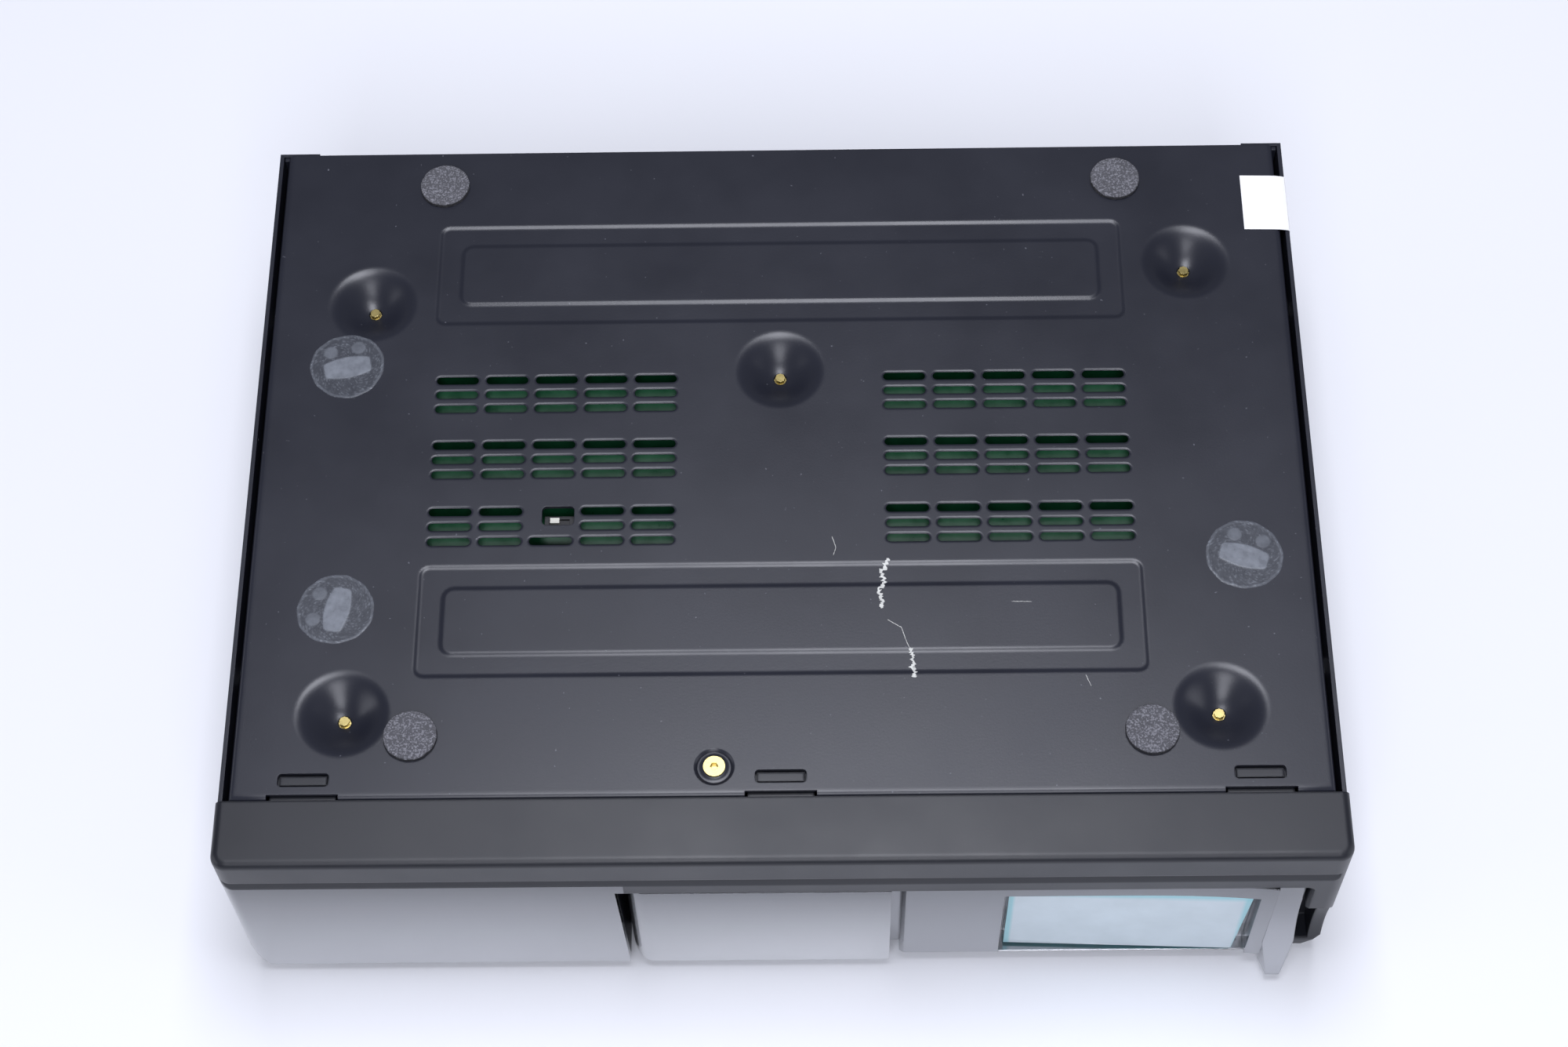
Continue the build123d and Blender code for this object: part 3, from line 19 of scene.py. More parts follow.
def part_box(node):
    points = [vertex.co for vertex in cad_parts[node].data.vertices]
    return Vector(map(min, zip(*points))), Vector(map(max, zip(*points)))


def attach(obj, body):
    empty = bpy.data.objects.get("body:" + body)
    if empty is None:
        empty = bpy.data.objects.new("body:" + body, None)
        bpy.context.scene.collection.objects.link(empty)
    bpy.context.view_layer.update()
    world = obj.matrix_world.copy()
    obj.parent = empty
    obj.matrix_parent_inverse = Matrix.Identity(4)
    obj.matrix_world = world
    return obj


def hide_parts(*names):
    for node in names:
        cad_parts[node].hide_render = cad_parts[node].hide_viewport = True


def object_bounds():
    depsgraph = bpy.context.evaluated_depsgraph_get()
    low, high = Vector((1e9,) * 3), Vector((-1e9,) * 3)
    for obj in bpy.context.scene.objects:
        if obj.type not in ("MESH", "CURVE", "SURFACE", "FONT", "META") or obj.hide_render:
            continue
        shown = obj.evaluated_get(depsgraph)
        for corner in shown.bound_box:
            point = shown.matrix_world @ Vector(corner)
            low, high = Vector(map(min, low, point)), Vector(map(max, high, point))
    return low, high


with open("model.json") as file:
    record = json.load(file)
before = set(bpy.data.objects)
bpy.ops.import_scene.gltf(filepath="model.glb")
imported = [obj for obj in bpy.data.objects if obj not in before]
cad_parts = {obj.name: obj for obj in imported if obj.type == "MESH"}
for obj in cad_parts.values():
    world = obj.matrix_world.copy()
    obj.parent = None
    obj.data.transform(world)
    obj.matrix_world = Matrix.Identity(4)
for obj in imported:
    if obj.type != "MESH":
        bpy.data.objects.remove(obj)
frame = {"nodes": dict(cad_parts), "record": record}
nodes = frame["nodes"]
cad_box = [list(corner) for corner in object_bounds()]
MM = 0.001
print("loaded", len(nodes), "nodes, box in mm:",
      [[round(v / MM, 1) for v in corner] for corner in cad_box])

# %% [markdown]
# ## The camera
#
# A photograph fixes its camera: the straight edges of the case, the even pitch of the vents
# and the round screw bowls leave only one place and one lens that fit them all. The camera
# looks down on the plate at 61 degrees, from a little over half a metre. Working it out from
# those known sizes is better than turning it by eye, because then every edge lands where it
# is in the photograph.

# %% Camera
plate_low, plate_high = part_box("bottom_cover")
camera = bpy.data.objects.new("camera", bpy.data.cameras.new("camera"))
bpy.context.scene.collection.objects.link(camera)
camera.data.sensor_width = 36.0
camera.data.lens = 67.86
camera.data.clip_start = 0.01
to_right, before_rear_edge, over_plate = 9.97, 443.27, 608.76
tilt, lean, turn = 28.859, 0.934, -0.143
camera.location = (to_right * MM, plate_high.y - before_rear_edge * MM,
                   plate_high.z + over_plate * MM)
camera.rotation_euler = (radians(tilt), radians(lean), radians(turn))
bpy.context.scene.camera = camera
bpy.context.scene.view_settings.view_transform = "Standard"
print("camera at", [round(v, 4) for v in camera.location])

# %% [markdown]
# ## Colours and nodes
#
# Paint and plastic colours are written as the hex codes a paint shop or a screen uses. Blender
# works in linear light, so one function turns the codes. A second function adds a shader node
# with its settings and links in one line, which keeps every finish short enough to read.

# %% Two helpers


def linear(code):
    """sRGB hex to linear: (c / 12.92) below 0.04045, otherwise ((c + 0.055) / 1.055) ** 2.4."""
    srgb = np.array([int(code[i:i + 2], 16) for i in (1, 3, 5)]) / 255
    light = np.where(srgb <= 0.04045, srgb / 12.92, ((srgb + 0.055) / 1.055) ** 2.4)
    return (*light.tolist(), 1.0)


def add(tree, kind, inputs=None, **settings):
    """Adds one shader node; inputs are sockets to link or plain values to set."""
    made = tree.nodes.new("ShaderNode" + kind)
    for name, value in settings.items():
        setattr(made, name, value)
    for socket, value in (inputs or {}).items():
        if isinstance(value, bpy.types.NodeSocket):
            tree.links.new(value, made.inputs[socket])
        else:
            made.inputs[socket].default_value = value
    return made


# %% [markdown]
# ## Table and light
#
# The object stands on a plain pale table under soft studio light. Black satin paint has almost
# no colour of its own: what the eye reads is the lamp's soft reflection running over it. The
# camera looks down from the front, so the plate mirrors the ceiling behind the object, 23
# degrees back at its front edge and 36 degrees back at its rear edge. One softbox overhead whose
# rear edge lies near the first of these makes the front of the plate bright and the rear dark,
# with a soft ramp in between. A second one in front lights what faces forwards, such as the
# rear walls of the bowls. A card on each side and the soft light of the room do the rest.

# %% Table
table_size = 6.0
table_gap = 0.4
table_mesh = bpy.data.meshes.new("table")
half = table_size / 2
table_mesh.from_pydata([(-half, -half, 0), (half, -half, 0), (half, half, 0), (-half, half, 0)],
                       [], [(0, 1, 2, 3)])
table = bpy.data.objects.new("table", table_mesh)
table.location.z = -table_gap * MM
bpy.context.scene.collection.objects.link(table)

pale_table = bpy.data.materials.new("pale_table")
pale_table.use_nodes = True
tree = pale_table.node_tree
tree.nodes.clear()
surface = add(tree, "BsdfDiffuse", {"Color": linear("#eeeff3")})
add(tree, "OutputMaterial", {"Surface": surface.outputs[0]})
table_mesh.materials.append(pale_table)

# %% Lamps
world = bpy.data.worlds.new("studio")
bpy.context.scene.world = world
world.use_nodes = True
tree = world.node_tree
tree.nodes.clear()
room = add(tree, "Background", {"Color": linear("#f0f3fe"), "Strength": 0.21})
add(tree, "OutputWorld", {"Surface": room.outputs[0]})


def lamp(name, place, aim, width, length, power, tint="#f3f5ff"):
    """An area lamp at place that faces aim; places and sizes in metres, power in watts."""
    light = bpy.data.lights.new(name, "AREA")
    light.shape = "RECTANGLE"
    light.size, light.size_y = width, length
    light.energy = power
    light.color = linear(tint)[:3]
    holder = bpy.data.objects.new(name, light)
    holder.location = place
    holder.rotation_euler = (Vector(place) - Vector(aim)).to_track_quat("Z", "Y").to_euler()
    bpy.context.scene.collection.objects.link(holder)


lamp("softbox_above", (0.02, 0.07, 1.25), (0.02, 0.07, 0), 0.46, 0.68, 11.5)
for side in (-1, 1):
    lamp("card", (side * 1.2, -0.3, 0.45), (0, -0.05, 0.03), 0.9, 0.5, 3.0)
lamp("softbox_front", (0.0, -0.80, 0.90), (0, 0, 0.03), 0.5, 0.5, 5.5)

# %% [markdown]
# ## How a finish is built
#
# Every finish here is the same idea with other numbers: a base colour that varies a little
# over the part, a roughness that varies with it where hands and dust have been, and a fine
# bump for the grain of the paint or the mould. Edges get a small rounding from the Bevel node,
# because no real edge is knife sharp and a thin bright line along it is what shows that.
# The noise is laid out in the object's own millimetres, so its scale is a real size.

# %% The common finish


def finish(name, colour, roughness, grain=0.5, depth=0.01, mottle=0.10, patch=40.0,
           metallic=0.0, ior=1.5, edge=0.25):
    """A surface with grain (mm across, depth in mm), slow patches (mm) and rounded edges (mm).

    Colour = base * (1 +- mottle * noise), roughness = base * (1 +- mottle * noise).
    """
    material = bpy.data.materials.new(name)
    material.use_nodes = True
    tree = material.node_tree
    tree.nodes.clear()
    place = add(tree, "TexCoord").outputs["Object"]
    slow = add(tree, "TexNoise", {"Vector": place, "Scale": 1000 / patch, "Detail": 3.0,
                                  "Roughness": 0.6}).outputs[0]
    fine = add(tree, "TexNoise", {"Vector": place, "Scale": 1000 / grain,
                                  "Detail": 2.0}).outputs[0]
    swing = add(tree, "MapRange", {"Value": slow, "From Min": 0.3, "From Max": 0.7,
                                   "To Min": 1 - mottle, "To Max": 1 + mottle}).outputs[0]
    tone = add(tree, "VectorMath", {0: linear(colour)[:3], "Scale": swing}, operation="SCALE")
    rough = add(tree, "Math", {0: swing, 1: roughness}, operation="MULTIPLY", use_clamp=True)
    rounded = add(tree, "Bevel", {"Radius": edge * MM}, samples=4)
    bump = add(tree, "Bump", {"Height": fine, "Distance": depth * MM, "Strength": 0.8,
                              "Normal": rounded.outputs[0]})
    shader = add(tree, "BsdfPrincipled", {
        "Base Color": tone.outputs[0], "Roughness": rough.outputs[0], "Normal": bump.outputs[0],
        "Metallic": metallic, "IOR": ior})
    add(tree, "OutputMaterial", {"Surface": shader.outputs[0]})
    return {"material": material, "tree": tree, "shader": shader, "place": place,
            "tone": tone.outputs[0]}


def blend_colour(made, share, code):
    """Mixes another colour into a finish where share (a socket, 0 to 1) says so."""
    mixed = add(made["tree"], "Mix", {"Factor": share, "A": made["tone"], "B": linear(code)},
                data_type="RGBA").outputs["Result"]
    made["tree"].links.new(mixed, made["shader"].inputs["Base Color"])
    made["tone"] = mixed


# %% [markdown]
# ## Black satin paint on steel
#
# The sheet steel is powder coated: a thin plastic film melted on in an oven. It sets with a
# fine orange-peel skin about half a millimetre across, so its shine is soft. The slow patches
# of the common finish stand for uneven handling. A few pale dust specks, just under a
# millimetre, are the peaks of a fine noise, kept only above a threshold.

# %% Paint
satin_paint = finish("powder_coated_steel", "#1e202a", 0.33, grain=0.5, depth=0.012,
                     mottle=0.10, patch=34.0, edge=0.3)
speck_size = 0.9
dust = add(satin_paint["tree"], "TexNoise", {"Vector": satin_paint["place"], "Detail": 1.0,
                                             "Scale": 1000 / speck_size}).outputs[0]
specks = add(satin_paint["tree"], "MapRange", {"Value": dust, "From Min": 0.78,
                                               "From Max": 0.83, "To Max": 0.3}).outputs[0]
blend_colour(satin_paint, specks, "#9a9ca6")

# %% [markdown]
# ## The moulded front
#
# The front is ABS, moulded in a tool with a fine spark-eroded texture, so its shine is broad and
# quiet. Its corners are rounder than those of the sheet metal, and catch a wider line of light.
# The flat panels in it are polished and carry a thin metallised coat: nearly smooth, so they
# show a soft picture of the table.

# %% The front's plastics
finishes = {
    "case_paint": satin_paint,
    "front_plastic": finish("moulded_abs", "#15171f", 0.40, grain=0.4, depth=0.009,
                            mottle=0.10, patch=26.0, edge=0.8),
    "gloss_black": finish("metallised_panel", "#cbccce", 0.16, grain=1.2, depth=0.0015,
                          mottle=0.04, patch=60.0, metallic=0.92, edge=0.2),
    "grey_panel": finish("metallised_door_block", "#dadbdc", 0.14, grain=1.2, depth=0.0015,
                         mottle=0.04, patch=50.0, metallic=0.92, edge=0.25),
    "door_coat": finish("metallised_door_panel", "#b5b6b9", 0.18, grain=1.2, depth=0.0015,
                        mottle=0.04, patch=50.0, metallic=0.92, edge=0.4),
}

# %% [markdown]
# ## Metals
#
# Turned brass is pale and fairly smooth, zinc plating is grey and a little cloudy, and a drawn
# motor can is smoother than both. All are full metals, so their colour is in the reflection.

# %% Metals
finishes |= {
    "brass": finish("machined_brass", "#cdbb7c", 0.30, grain=0.3, depth=0.004, mottle=0.12,
                    patch=2.0, metallic=1.0, edge=0.1),
    "zinc": finish("zinc_plated_steel", "#a9abb0", 0.36, grain=0.6, depth=0.004, mottle=0.14,
                   patch=8.0, metallic=1.0, edge=0.15),
    "motor_steel": finish("drawn_motor_can", "#9ea0a5", 0.28, grain=0.5, depth=0.003,
                          metallic=1.0, edge=0.15),
}

# %% [markdown]
# ## Inside the case
#
# The vents and the open door let a little of the inside show. The board has a half-gloss solder
# mask over its copper, which makes its green uneven. Sockets and chip packages are dull black,
# the magazine has a coarse moulded grain, and its trays are thin and shinier. Sliding parts are
# undyed acetal, which has a waxy, nearly white look.

# %% Board, magazine and works
finishes |= {
    # the board's green is partly the solder mask's own dark colour, partly darkened as painted shade
    # for the plate's shadow on it
    "board_green": finish("solder_mask", "#0e4a2c", 0.34, grain=0.8, depth=0.01, mottle=0.20,
                          patch=5.0, edge=0.05),
    "chip_black": finish("epoxy_package", "#17171a", 0.55, grain=0.3, depth=0.006, edge=0.1),
    "socket_black": finish("nylon_socket", "#1c1c20", 0.48, grain=0.4, depth=0.006, edge=0.15),
    "damper_rubber": finish("soft_rubber", "#1a1a1b", 0.7, grain=0.8, depth=0.02, edge=0.2),
    "magazine_grey": finish("magazine_abs", "#3b3c41", 0.5, grain=0.5, depth=0.012, edge=0.25),
    "tray_plastic": finish("tray_polystyrene", "#56575d", 0.4, grain=0.7, depth=0.004, edge=0.1),
    "works_plastic": finish("natural_acetal", "#d9d7cd", 0.42, grain=0.6, depth=0.004,
                            mottle=0.05, edge=0.15),
    "lens": finish("coated_lens", "#7fa4d6", 0.05, grain=2.0, depth=0.0, mottle=0.02, edge=0.05),
}

# %% [markdown]
# ## What is stuck on or worn
#
# Paper is matt and almost even. Dried adhesive is a thin clear skin with a rough face, and bare
# scratches are chalky, because a scraped coating scatters light in all directions.

# %% Foam, paper, adhesive and scratches
finishes |= {
    "foam_black": finish("closed_cell_foam", "#4e4e53", 0.95, grain=0.5, depth=0.12,
                         mottle=0.12, patch=4.0, edge=0.05),
    "label_white": finish("paper_label", "#f4f4f5", 0.6, grain=0.25, depth=0.006, mottle=0.015,
                          patch=6.0, edge=0.02),
    "glue_film": finish("dried_adhesive", "#8d929b", 0.3, grain=0.9, depth=0.04, mottle=0.2,
                        patch=2.5, edge=0.05),
    "bare_scratch": finish("scratched_paint", "#c9cac6", 0.7, grain=0.4, depth=0.03,
                           mottle=0.2, patch=1.5, edge=0.02),
}

# %% [markdown]
# ## Cut foam
#
# A cut through closed-cell foam opens its bubbles, so the face is a mix of pale cell walls and
# dark hollows, about 0.4 mm across. The side wall is made darker than the top: the less a face
# points up, the more of a dark colour is mixed in. A pad lies flat and never turns, so its
# upward share is safe to use.

# %% Foam grains
foam_finish = finishes["foam_black"]
cell_size = 0.40
cells = add(foam_finish["tree"], "TexNoise", {"Vector": foam_finish["place"], "Detail": 2.0,
                                              "Scale": 1000 / cell_size}).outputs[0]
pale = add(foam_finish["tree"], "MapRange", {"Value": cells, "From Min": 0.48,
                                             "From Max": 0.66}).outputs[0]
blend_colour(foam_finish, pale, "#7d7d84")
normal = add(foam_finish["tree"], "NewGeometry").outputs["Normal"]
upward = add(foam_finish["tree"], "SeparateXYZ", {"Vector": normal}).outputs["Z"]
# the side wall is darker than the top: the less a face points up, the darker it is
punched = add(foam_finish["tree"], "MapRange", {"Value": upward, "From Min": 0.8,
                                                "From Max": 0.3, "To Max": 0.8}).outputs[0]
blend_colour(foam_finish, punched, "#1b1b1e")

# %% [markdown]
# ## A painted reflection on the front panels
#
# The flat panels of the front are silver at their lower edge and grow darker towards the upper
# one: a painted reflection, the dark band that the mirror-like panels show along their upper
# part. It is a blend over the height of the panel in the part's own coordinates, so that it
# stays on the part from every side. The narrow panel of the door has the same painted
# reflection, and its coat is a little darker.

# %% Panels with a painted reflection


def paint_reflection_by_height(made, node, code):
    """Painted reflection: blends towards code with the height z in node's box: share = (z - low) /
    (high - low).
    """
    low, high = (corner.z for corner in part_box(node))
    height = add(made["tree"], "SeparateXYZ", {"Vector": made["place"]}).outputs["Z"]
    share = add(made["tree"], "MapRange", {"Value": height, "From Min": low,
                                           "From Max": high}).outputs[0]
    blend_colour(made, share, code)
    print(node, "graded from", round(low / MM, 1), "to", round(high / MM, 1), "mm")


# painted reflection: each front panel darkens towards its top edge
paint_reflection_by_height(finishes["gloss_black"], "fascia_panel", "#646568")
paint_reflection_by_height(finishes["grey_panel"], "door_block", "#6c6d70")
paint_reflection_by_height(finishes["door_coat"], "door_panel", "#6e6f72")

# %% [markdown]
# ## The window
#
# The window is a thick plate of clear acrylic with a pale, mirrored sheet behind it. Seen
# through its polished edges the plastic looks blue-green, as window glass does, because the
# light there has come a long way through it. So the front is pale, and faces that point sideways
# or up get the edge colour: how far the normal points along Y decides which is which. The edges
# also show through the front as coloured bands along the top and both ends, which are laid out
# by place.

# %% Window
finishes["window_tint"] = finish("acrylic_window", "#c3d0d6", 0.06, grain=3.0, depth=0.002,
                                 mottle=0.05, patch=12.0, ior=1.49, edge=0.15)
acrylic = finishes["window_tint"]
normal = add(acrylic["tree"], "NewGeometry").outputs["Normal"]
facing = add(acrylic["tree"], "SeparateXYZ", {"Vector": normal}).outputs["Y"]
frontal = add(acrylic["tree"], "Math", {0: facing}, operation="ABSOLUTE").outputs[0]
sideways = add(acrylic["tree"], "MapRange", {"Value": frontal, "From Min": 0.6,
                                             "From Max": 0.4}).outputs[0]
blend_colour(acrylic, sideways, "#6fc0c6")

# %% Bands of the window's edges
window_low, window_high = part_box("door_window")
within = add(acrylic["tree"], "SeparateXYZ", {"Vector": acrylic["place"]})
edge_bands = {
    "top": ("Z", window_high.z - 3.6 * MM, window_high.z - 1.4 * MM),
    "right": ("X", window_high.x - 2.2 * MM, window_high.x - 1.2 * MM),
    "left": ("X", window_low.x + 1.6 * MM, window_low.x + 0.9 * MM),
}
for axis, pale_from, full_from in edge_bands.values():
    band = add(acrylic["tree"], "MapRange", {"Value": within.outputs[axis], "To Max": 0.75,
                                             "From Min": pale_from,
                                             "From Max": full_from}).outputs[0]
    blend_colour(acrylic, band, "#7fc3cb")
print("window bands:", ", ".join(edge_bands))

# %% The sheet behind the window
finishes["window_white"] = finish("mirrored_backing", "#c4cdd4", 0.2, grain=2.0, depth=0.002,
                                  mottle=0.03, metallic=0.3, edge=0.05)

# %% [markdown]
# ## Dressing the solids
#
# The record names a material slot for each solid. Each gets the finish of its slot, apart from
# the door's panel: its slot is the dull plastic of the front, but the real panel is coated.

# %% Every solid gets its finish
for row in frame["record"]["subparts"]:
    mesh = nodes[row["node"]].data
    mesh.materials.clear()
    kind = "door_coat" if row["node"] == "door_panel" else row["material_slot"]
    mesh.materials.append(finishes[kind]["material"])

# %% [markdown]
# ## Putting a numpy shape into a piece
#
# Each new piece is worked out as whole arrays in millimetres: a grid of points and the quads
# between its rows. One function turns such arrays into a Blender piece, gives it a finish and
# hands it to the body that it moves with.

# %% Grid helpers


def quads(rows, columns, wrap=False):
    """Indices of the quads of a rows x columns grid; wrap joins the last column to the first."""
    r, c = np.meshgrid(np.arange(rows - 1), np.arange(columns if wrap else columns - 1),
                       indexing="ij")
    right = (c + 1) % columns
    return np.stack([r * columns + c, r * columns + right, (r + 1) * columns + right,
                     (r + 1) * columns + c], axis=-1).reshape(-1, 4)


def piece(name, points, faces, slot, body="housing", wall=None, smooth_angle=35):
    """Makes a mesh from points in mm, thickens it by wall mm downwards, and rides it on body.

    Even offset keeps a real wall's thickness at its folds. On paper-thin films it would throw
    long spikes where two faces nearly fold back, so only a wall over 0.5 mm gets it.
    """
    mesh = bpy.data.meshes.new(name)
    mesh.from_pydata((np.asarray(points, float) * MM).tolist(), [],
                     [list(map(int, face)) for face in faces])
    made = bpy.data.objects.new(name, mesh)
    bpy.context.scene.collection.objects.link(made)
    if wall:
        thick = made.modifiers.new("wall", "SOLIDIFY")
        thick.thickness = wall * MM
        thick.offset = -1.0
        thick.use_even_offset = wall > 0.5
        ready = made.evaluated_get(bpy.context.evaluated_depsgraph_get())
        made.data = bpy.data.meshes.new_from_object(ready)
        made.modifiers.clear()
    made.data.name = name
    made.data.polygons.foreach_set("use_smooth", np.ones(len(made.data.polygons), bool))
    made.data.set_sharp_from_angle(angle=radians(smooth_angle))
    made.data.materials.clear()
    made.data.materials.append(finishes[slot]["material"])
    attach(made, body)
    print(name, len(made.data.polygons), "faces")
    return made


# %% [markdown]
# ## The drawn base plate
#
# A press draws the bowls and frames into the flat sheet, so every shoulder is a soft curve and
# no edge inside the plate is sharp. The plain solid has cones and steps there. Here the plate
# is one height function over its outline: depth = sum of the pressed forms. The outline, the
# slots and the contour lines of each form are handed to a constrained triangulation, which
# keeps them as edges, and then every point is moved to its height. That keeps the triangles
# small where the sheet curves and large where it is flat.

# %% Sizes of the plate, in mm: x from its middle, r from its rear edge
rear = plate_high.y / MM
face_z = plate_high.z / MM
half_width = plate_high.x / MM
plate_length = (plate_high.y - plate_low.y) / MM
sheet_wall = 1.0
edge_roll = 1.4
flange = 7.0
print("plate", round(2 * half_width, 1), "x", round(plate_length, 1), "mm")

# %% Pressed forms: (x, r) places, and (width, length, corner) of rounded rectangles
bowl_spots = np.array([(-100, 45), (100, 35), (0, 65), (-100, 156), (100, 156)], float)
bowl_radius, bowl_depth = 11.0, 5.0
screw_hole = 1.55
frame_rows = (36.8, 132.6)
frame_outer = (169.2, 29.4, 2.6)
frame_inner = (155.8, 16.0, 2.0)
frame_depth, frame_shoulder = 0.28, 1.1
cover_screw = (-15.0, plate_length - 7.4)
cover_screw_hole = 2.0
dish_radius, dish_seat, dish_depth, seat_depth = 4.6, 2.9, 0.7, 0.35

# %% Openings: six blocks of vents, the service opening, latch slots and front notches
block_middle, vent_pitch = 54, 12
first_row, block_pitch, row_pitch = 67.3, 18.2, 4
slot_size = (10.1, 2.0, 0.99)
lip_width, lip_drop = 0.5, 0.22
vents = [(side * block_middle + vent_pitch * column, first_row + block_pitch * group + row_pitch * row)
         for side in (-1, 1) for group in range(3) for row in range(3) for column in range(-2, 3)]
# the service opening takes the place of two vents of the left front block
vents = [spot for spot in vents if not (spot[0] == -block_middle and 100 < spot[1] < 110)]
service_opening = (-52.4, 105.0, 7.6, 5.0, 1.1)
latch_columns = (-107.6, 0.0, 107.6)
latch_slots = [(x, plate_length - 5.0, 11.6, 3.2, 0.9) for x in latch_columns]
notches = [(x, plate_length, 16.2, 2.8) for x in latch_columns]
print(len(vents), "vents,", len(bowl_spots), "bowls,", len(latch_slots), "latch slots")

# %% [markdown]
# ## Depth of the pressed forms
#
# A step that eases in and out is what a press leaves where sheet bends down and up again. The
# distance to a rounded rectangle says how far a point is from a shoulder, so one easing curve
# serves frames, slots and dish alike.

# %% The height of the pressed sheet


def ease(t):
    """Smooth step from 0 to 1: 3t^2 - 2t^3 with t held between 0 and 1."""
    t = np.clip(t, 0, 1)
    return t * t * (3 - 2 * t)


def box_distance(x, r, spot_x, spot_r, width, length, corner):
    """Distance to a rounded rectangle, negative inside: corner-rounded box distance formula."""
    qx = np.abs(x - spot_x) - width / 2 + corner
    qr = np.abs(r - spot_r) - length / 2 + corner
    outside = np.hypot(np.maximum(qx, 0), np.maximum(qr, 0))
    return outside + np.minimum(np.maximum(qx, qr), 0) - corner


def plate_height(x, r):
    """Height over the flat sheet: bowls, frames, dish and the rolled edge added up.

    Bowl: -depth * (1 - t^2)^2, t = distance / radius. Frame: -depth where the point is inside
    the outer and outside the inner outline, eased over the shoulder. Lip of a punched slot:
    -drop * (1 - distance / width)^2, the way a die pulls the edge of the hole down. Rolled
    edge: a quarter circle, sqrt(roll^2 - (roll - inset)^2), inset from the outline.
    """
    height = np.zeros_like(x)
    for spot_x, spot_r in bowl_spots:
        t = np.hypot(x - spot_x, r - spot_r) / bowl_radius
        height -= bowl_depth * np.clip(1 - t * t, 0, 1) ** 2
    for row in frame_rows:
        outside = box_distance(x, r, 0, row, *frame_outer)
        inside = box_distance(x, r, 0, row, *frame_inner)
        height -= frame_depth * ease(-outside / frame_shoulder) * ease(inside / frame_shoulder)
    for spot_x, spot_r in vents:
        lip = box_distance(x, r, spot_x, spot_r, *slot_size)
        height -= lip_drop * np.clip(1 - np.maximum(lip, 0) / lip_width, 0, 1) ** 2
    dish = np.hypot(x - cover_screw[0], r - cover_screw[1])
    height -= dish_depth * ease((dish_radius - dish) / 0.9) * ease((dish - dish_seat) / 0.8 + 0.5)
    height -= seat_depth * ease((dish_seat - dish) / 0.5 + 0.5) * (dish < dish_seat + 0.6)
    inset = np.minimum(np.minimum(x + half_width, half_width - x), plate_length - r)
    inset = np.clip(inset, 0, edge_roll)
    rolled = np.sqrt(np.maximum(edge_roll ** 2 - (edge_roll - inset) ** 2, 0))
    return height - (edge_roll - rolled)


print("deepest point", round(float(plate_height(*bowl_spots.T).min()), 2), "mm")

# %% [markdown]
# ## Contours
#
# Where the sheet curves, the triangles have to be small and follow the form. Rings round each
# bowl, slot and frame, a fraction of a millimetre to 1 mm apart, do that without a fine grid
# over the flat parts.

# %% Outlines and rings


def round_outline(spot_x, spot_r, width, length, corner, grow=0.0, steps=5):
    """Points round a rounded rectangle, grown outwards by grow: four quarter arcs in a row."""
    corner = max(corner + grow, 0.05)
    quarters = (0, 0.25, 0.5, 0.75)
    angles = np.concatenate([np.linspace(q, q + 0.25, steps) for q in quarters]) * tau
    sign_x = np.repeat([1, -1, -1, 1], steps)
    sign_r = np.repeat([1, 1, -1, -1], steps)
    x = spot_x + sign_x * (width / 2 + grow - corner) + corner * np.cos(angles)
    r = spot_r + sign_r * (length / 2 + grow - corner) + corner * np.sin(angles)
    return np.stack([x, r], axis=-1)


def circle(spot, radius, steps=48):
    """Points round a circle."""
    angles = np.arange(steps) / steps * tau
    return np.stack([spot[0] + radius * np.cos(angles), spot[1] + radius * np.sin(angles)], -1)


front_edge = []
for x, r, width, length in notches:
    front_edge += [(x - width / 2, r), (x - width / 2, r - length / 2),
                   (x + width / 2, r - length / 2), (x + width / 2, r)]
outline = np.array([(-half_width, 0.0), (-half_width, plate_length), *front_edge,
                    (half_width, plate_length), (half_width, 0.0)])

# %% Rings that the triangulation keeps, in mm
bowl_rings = (screw_hole, 2.3, 3.1, 3.9, 4.7, 5.5, 6.3, 7.1, 7.9, 8.7, 9.5, 10.3, 10.9, 11.4, 12.0)
dish_rings = (cover_screw_hole, 2.4, 2.7, 3.0, 3.3, 3.8, 4.2, 4.6, 5.0)
lip_rings = (0, 0.3, 0.6, 1.0, 1.5)
shoulder_rings = (0.3, 0.0, -0.2, -0.4, -0.6, -0.8, -1.1, -1.4)
roll_lines = (0.12, 0.35, 0.7, 1.05, 1.4, 2.0)

closed = [outline]
for x, r in vents:
    closed += [round_outline(x, r, *slot_size, grow=lip_width * share) for share in lip_rings]
closed += [round_outline(*service_opening), *[round_outline(*latch) for latch in latch_slots]]
for spot in bowl_spots:
    closed += [circle(spot, radius) for radius in bowl_rings]
closed += [circle(cover_screw, radius, 32) for radius in dish_rings]
for row in frame_rows:
    for grow in shoulder_rings:
        closed.append(round_outline(0, row, *frame_outer, grow=grow))
        closed.append(round_outline(0, row, *frame_inner, grow=-grow))
open_lines = [np.array([(-half_width + inset, 0), (-half_width + inset, plate_length - inset),
                        (half_width - inset, plate_length - inset), (half_width - inset, 0)])
              for inset in roll_lines]
print(len(closed), "closed and", len(open_lines), "open contours")

# %% Triangulate
points, edges = [], []
for line, is_closed in [(c, True) for c in closed] + [(c, False) for c in open_lines]:
    first = len(points)
    count = len(line)
    points += [Vector(p) for p in line.tolist()]
    steps = count if is_closed else count - 1
    edges += [(first + k, first + (k + 1) % count) for k in range(steps)]
found, _, triangles, *_ = delaunay_2d_cdt(points, edges, [], 0, 1e-5)
flat = np.array([tuple(p) for p in found])
triangles = np.array([list(t) for t in triangles])
print(len(triangles), "triangles before the openings are cut")

# %% [markdown]
# ## Cutting the openings
#
# The contours are edges of the triangulation, so each triangle lies wholly inside or outside
# every opening, and its middle is enough to tell which. What is left has two kinds of rim: the
# edges of the openings, and the outer edge, which goes on downwards as the folded side.

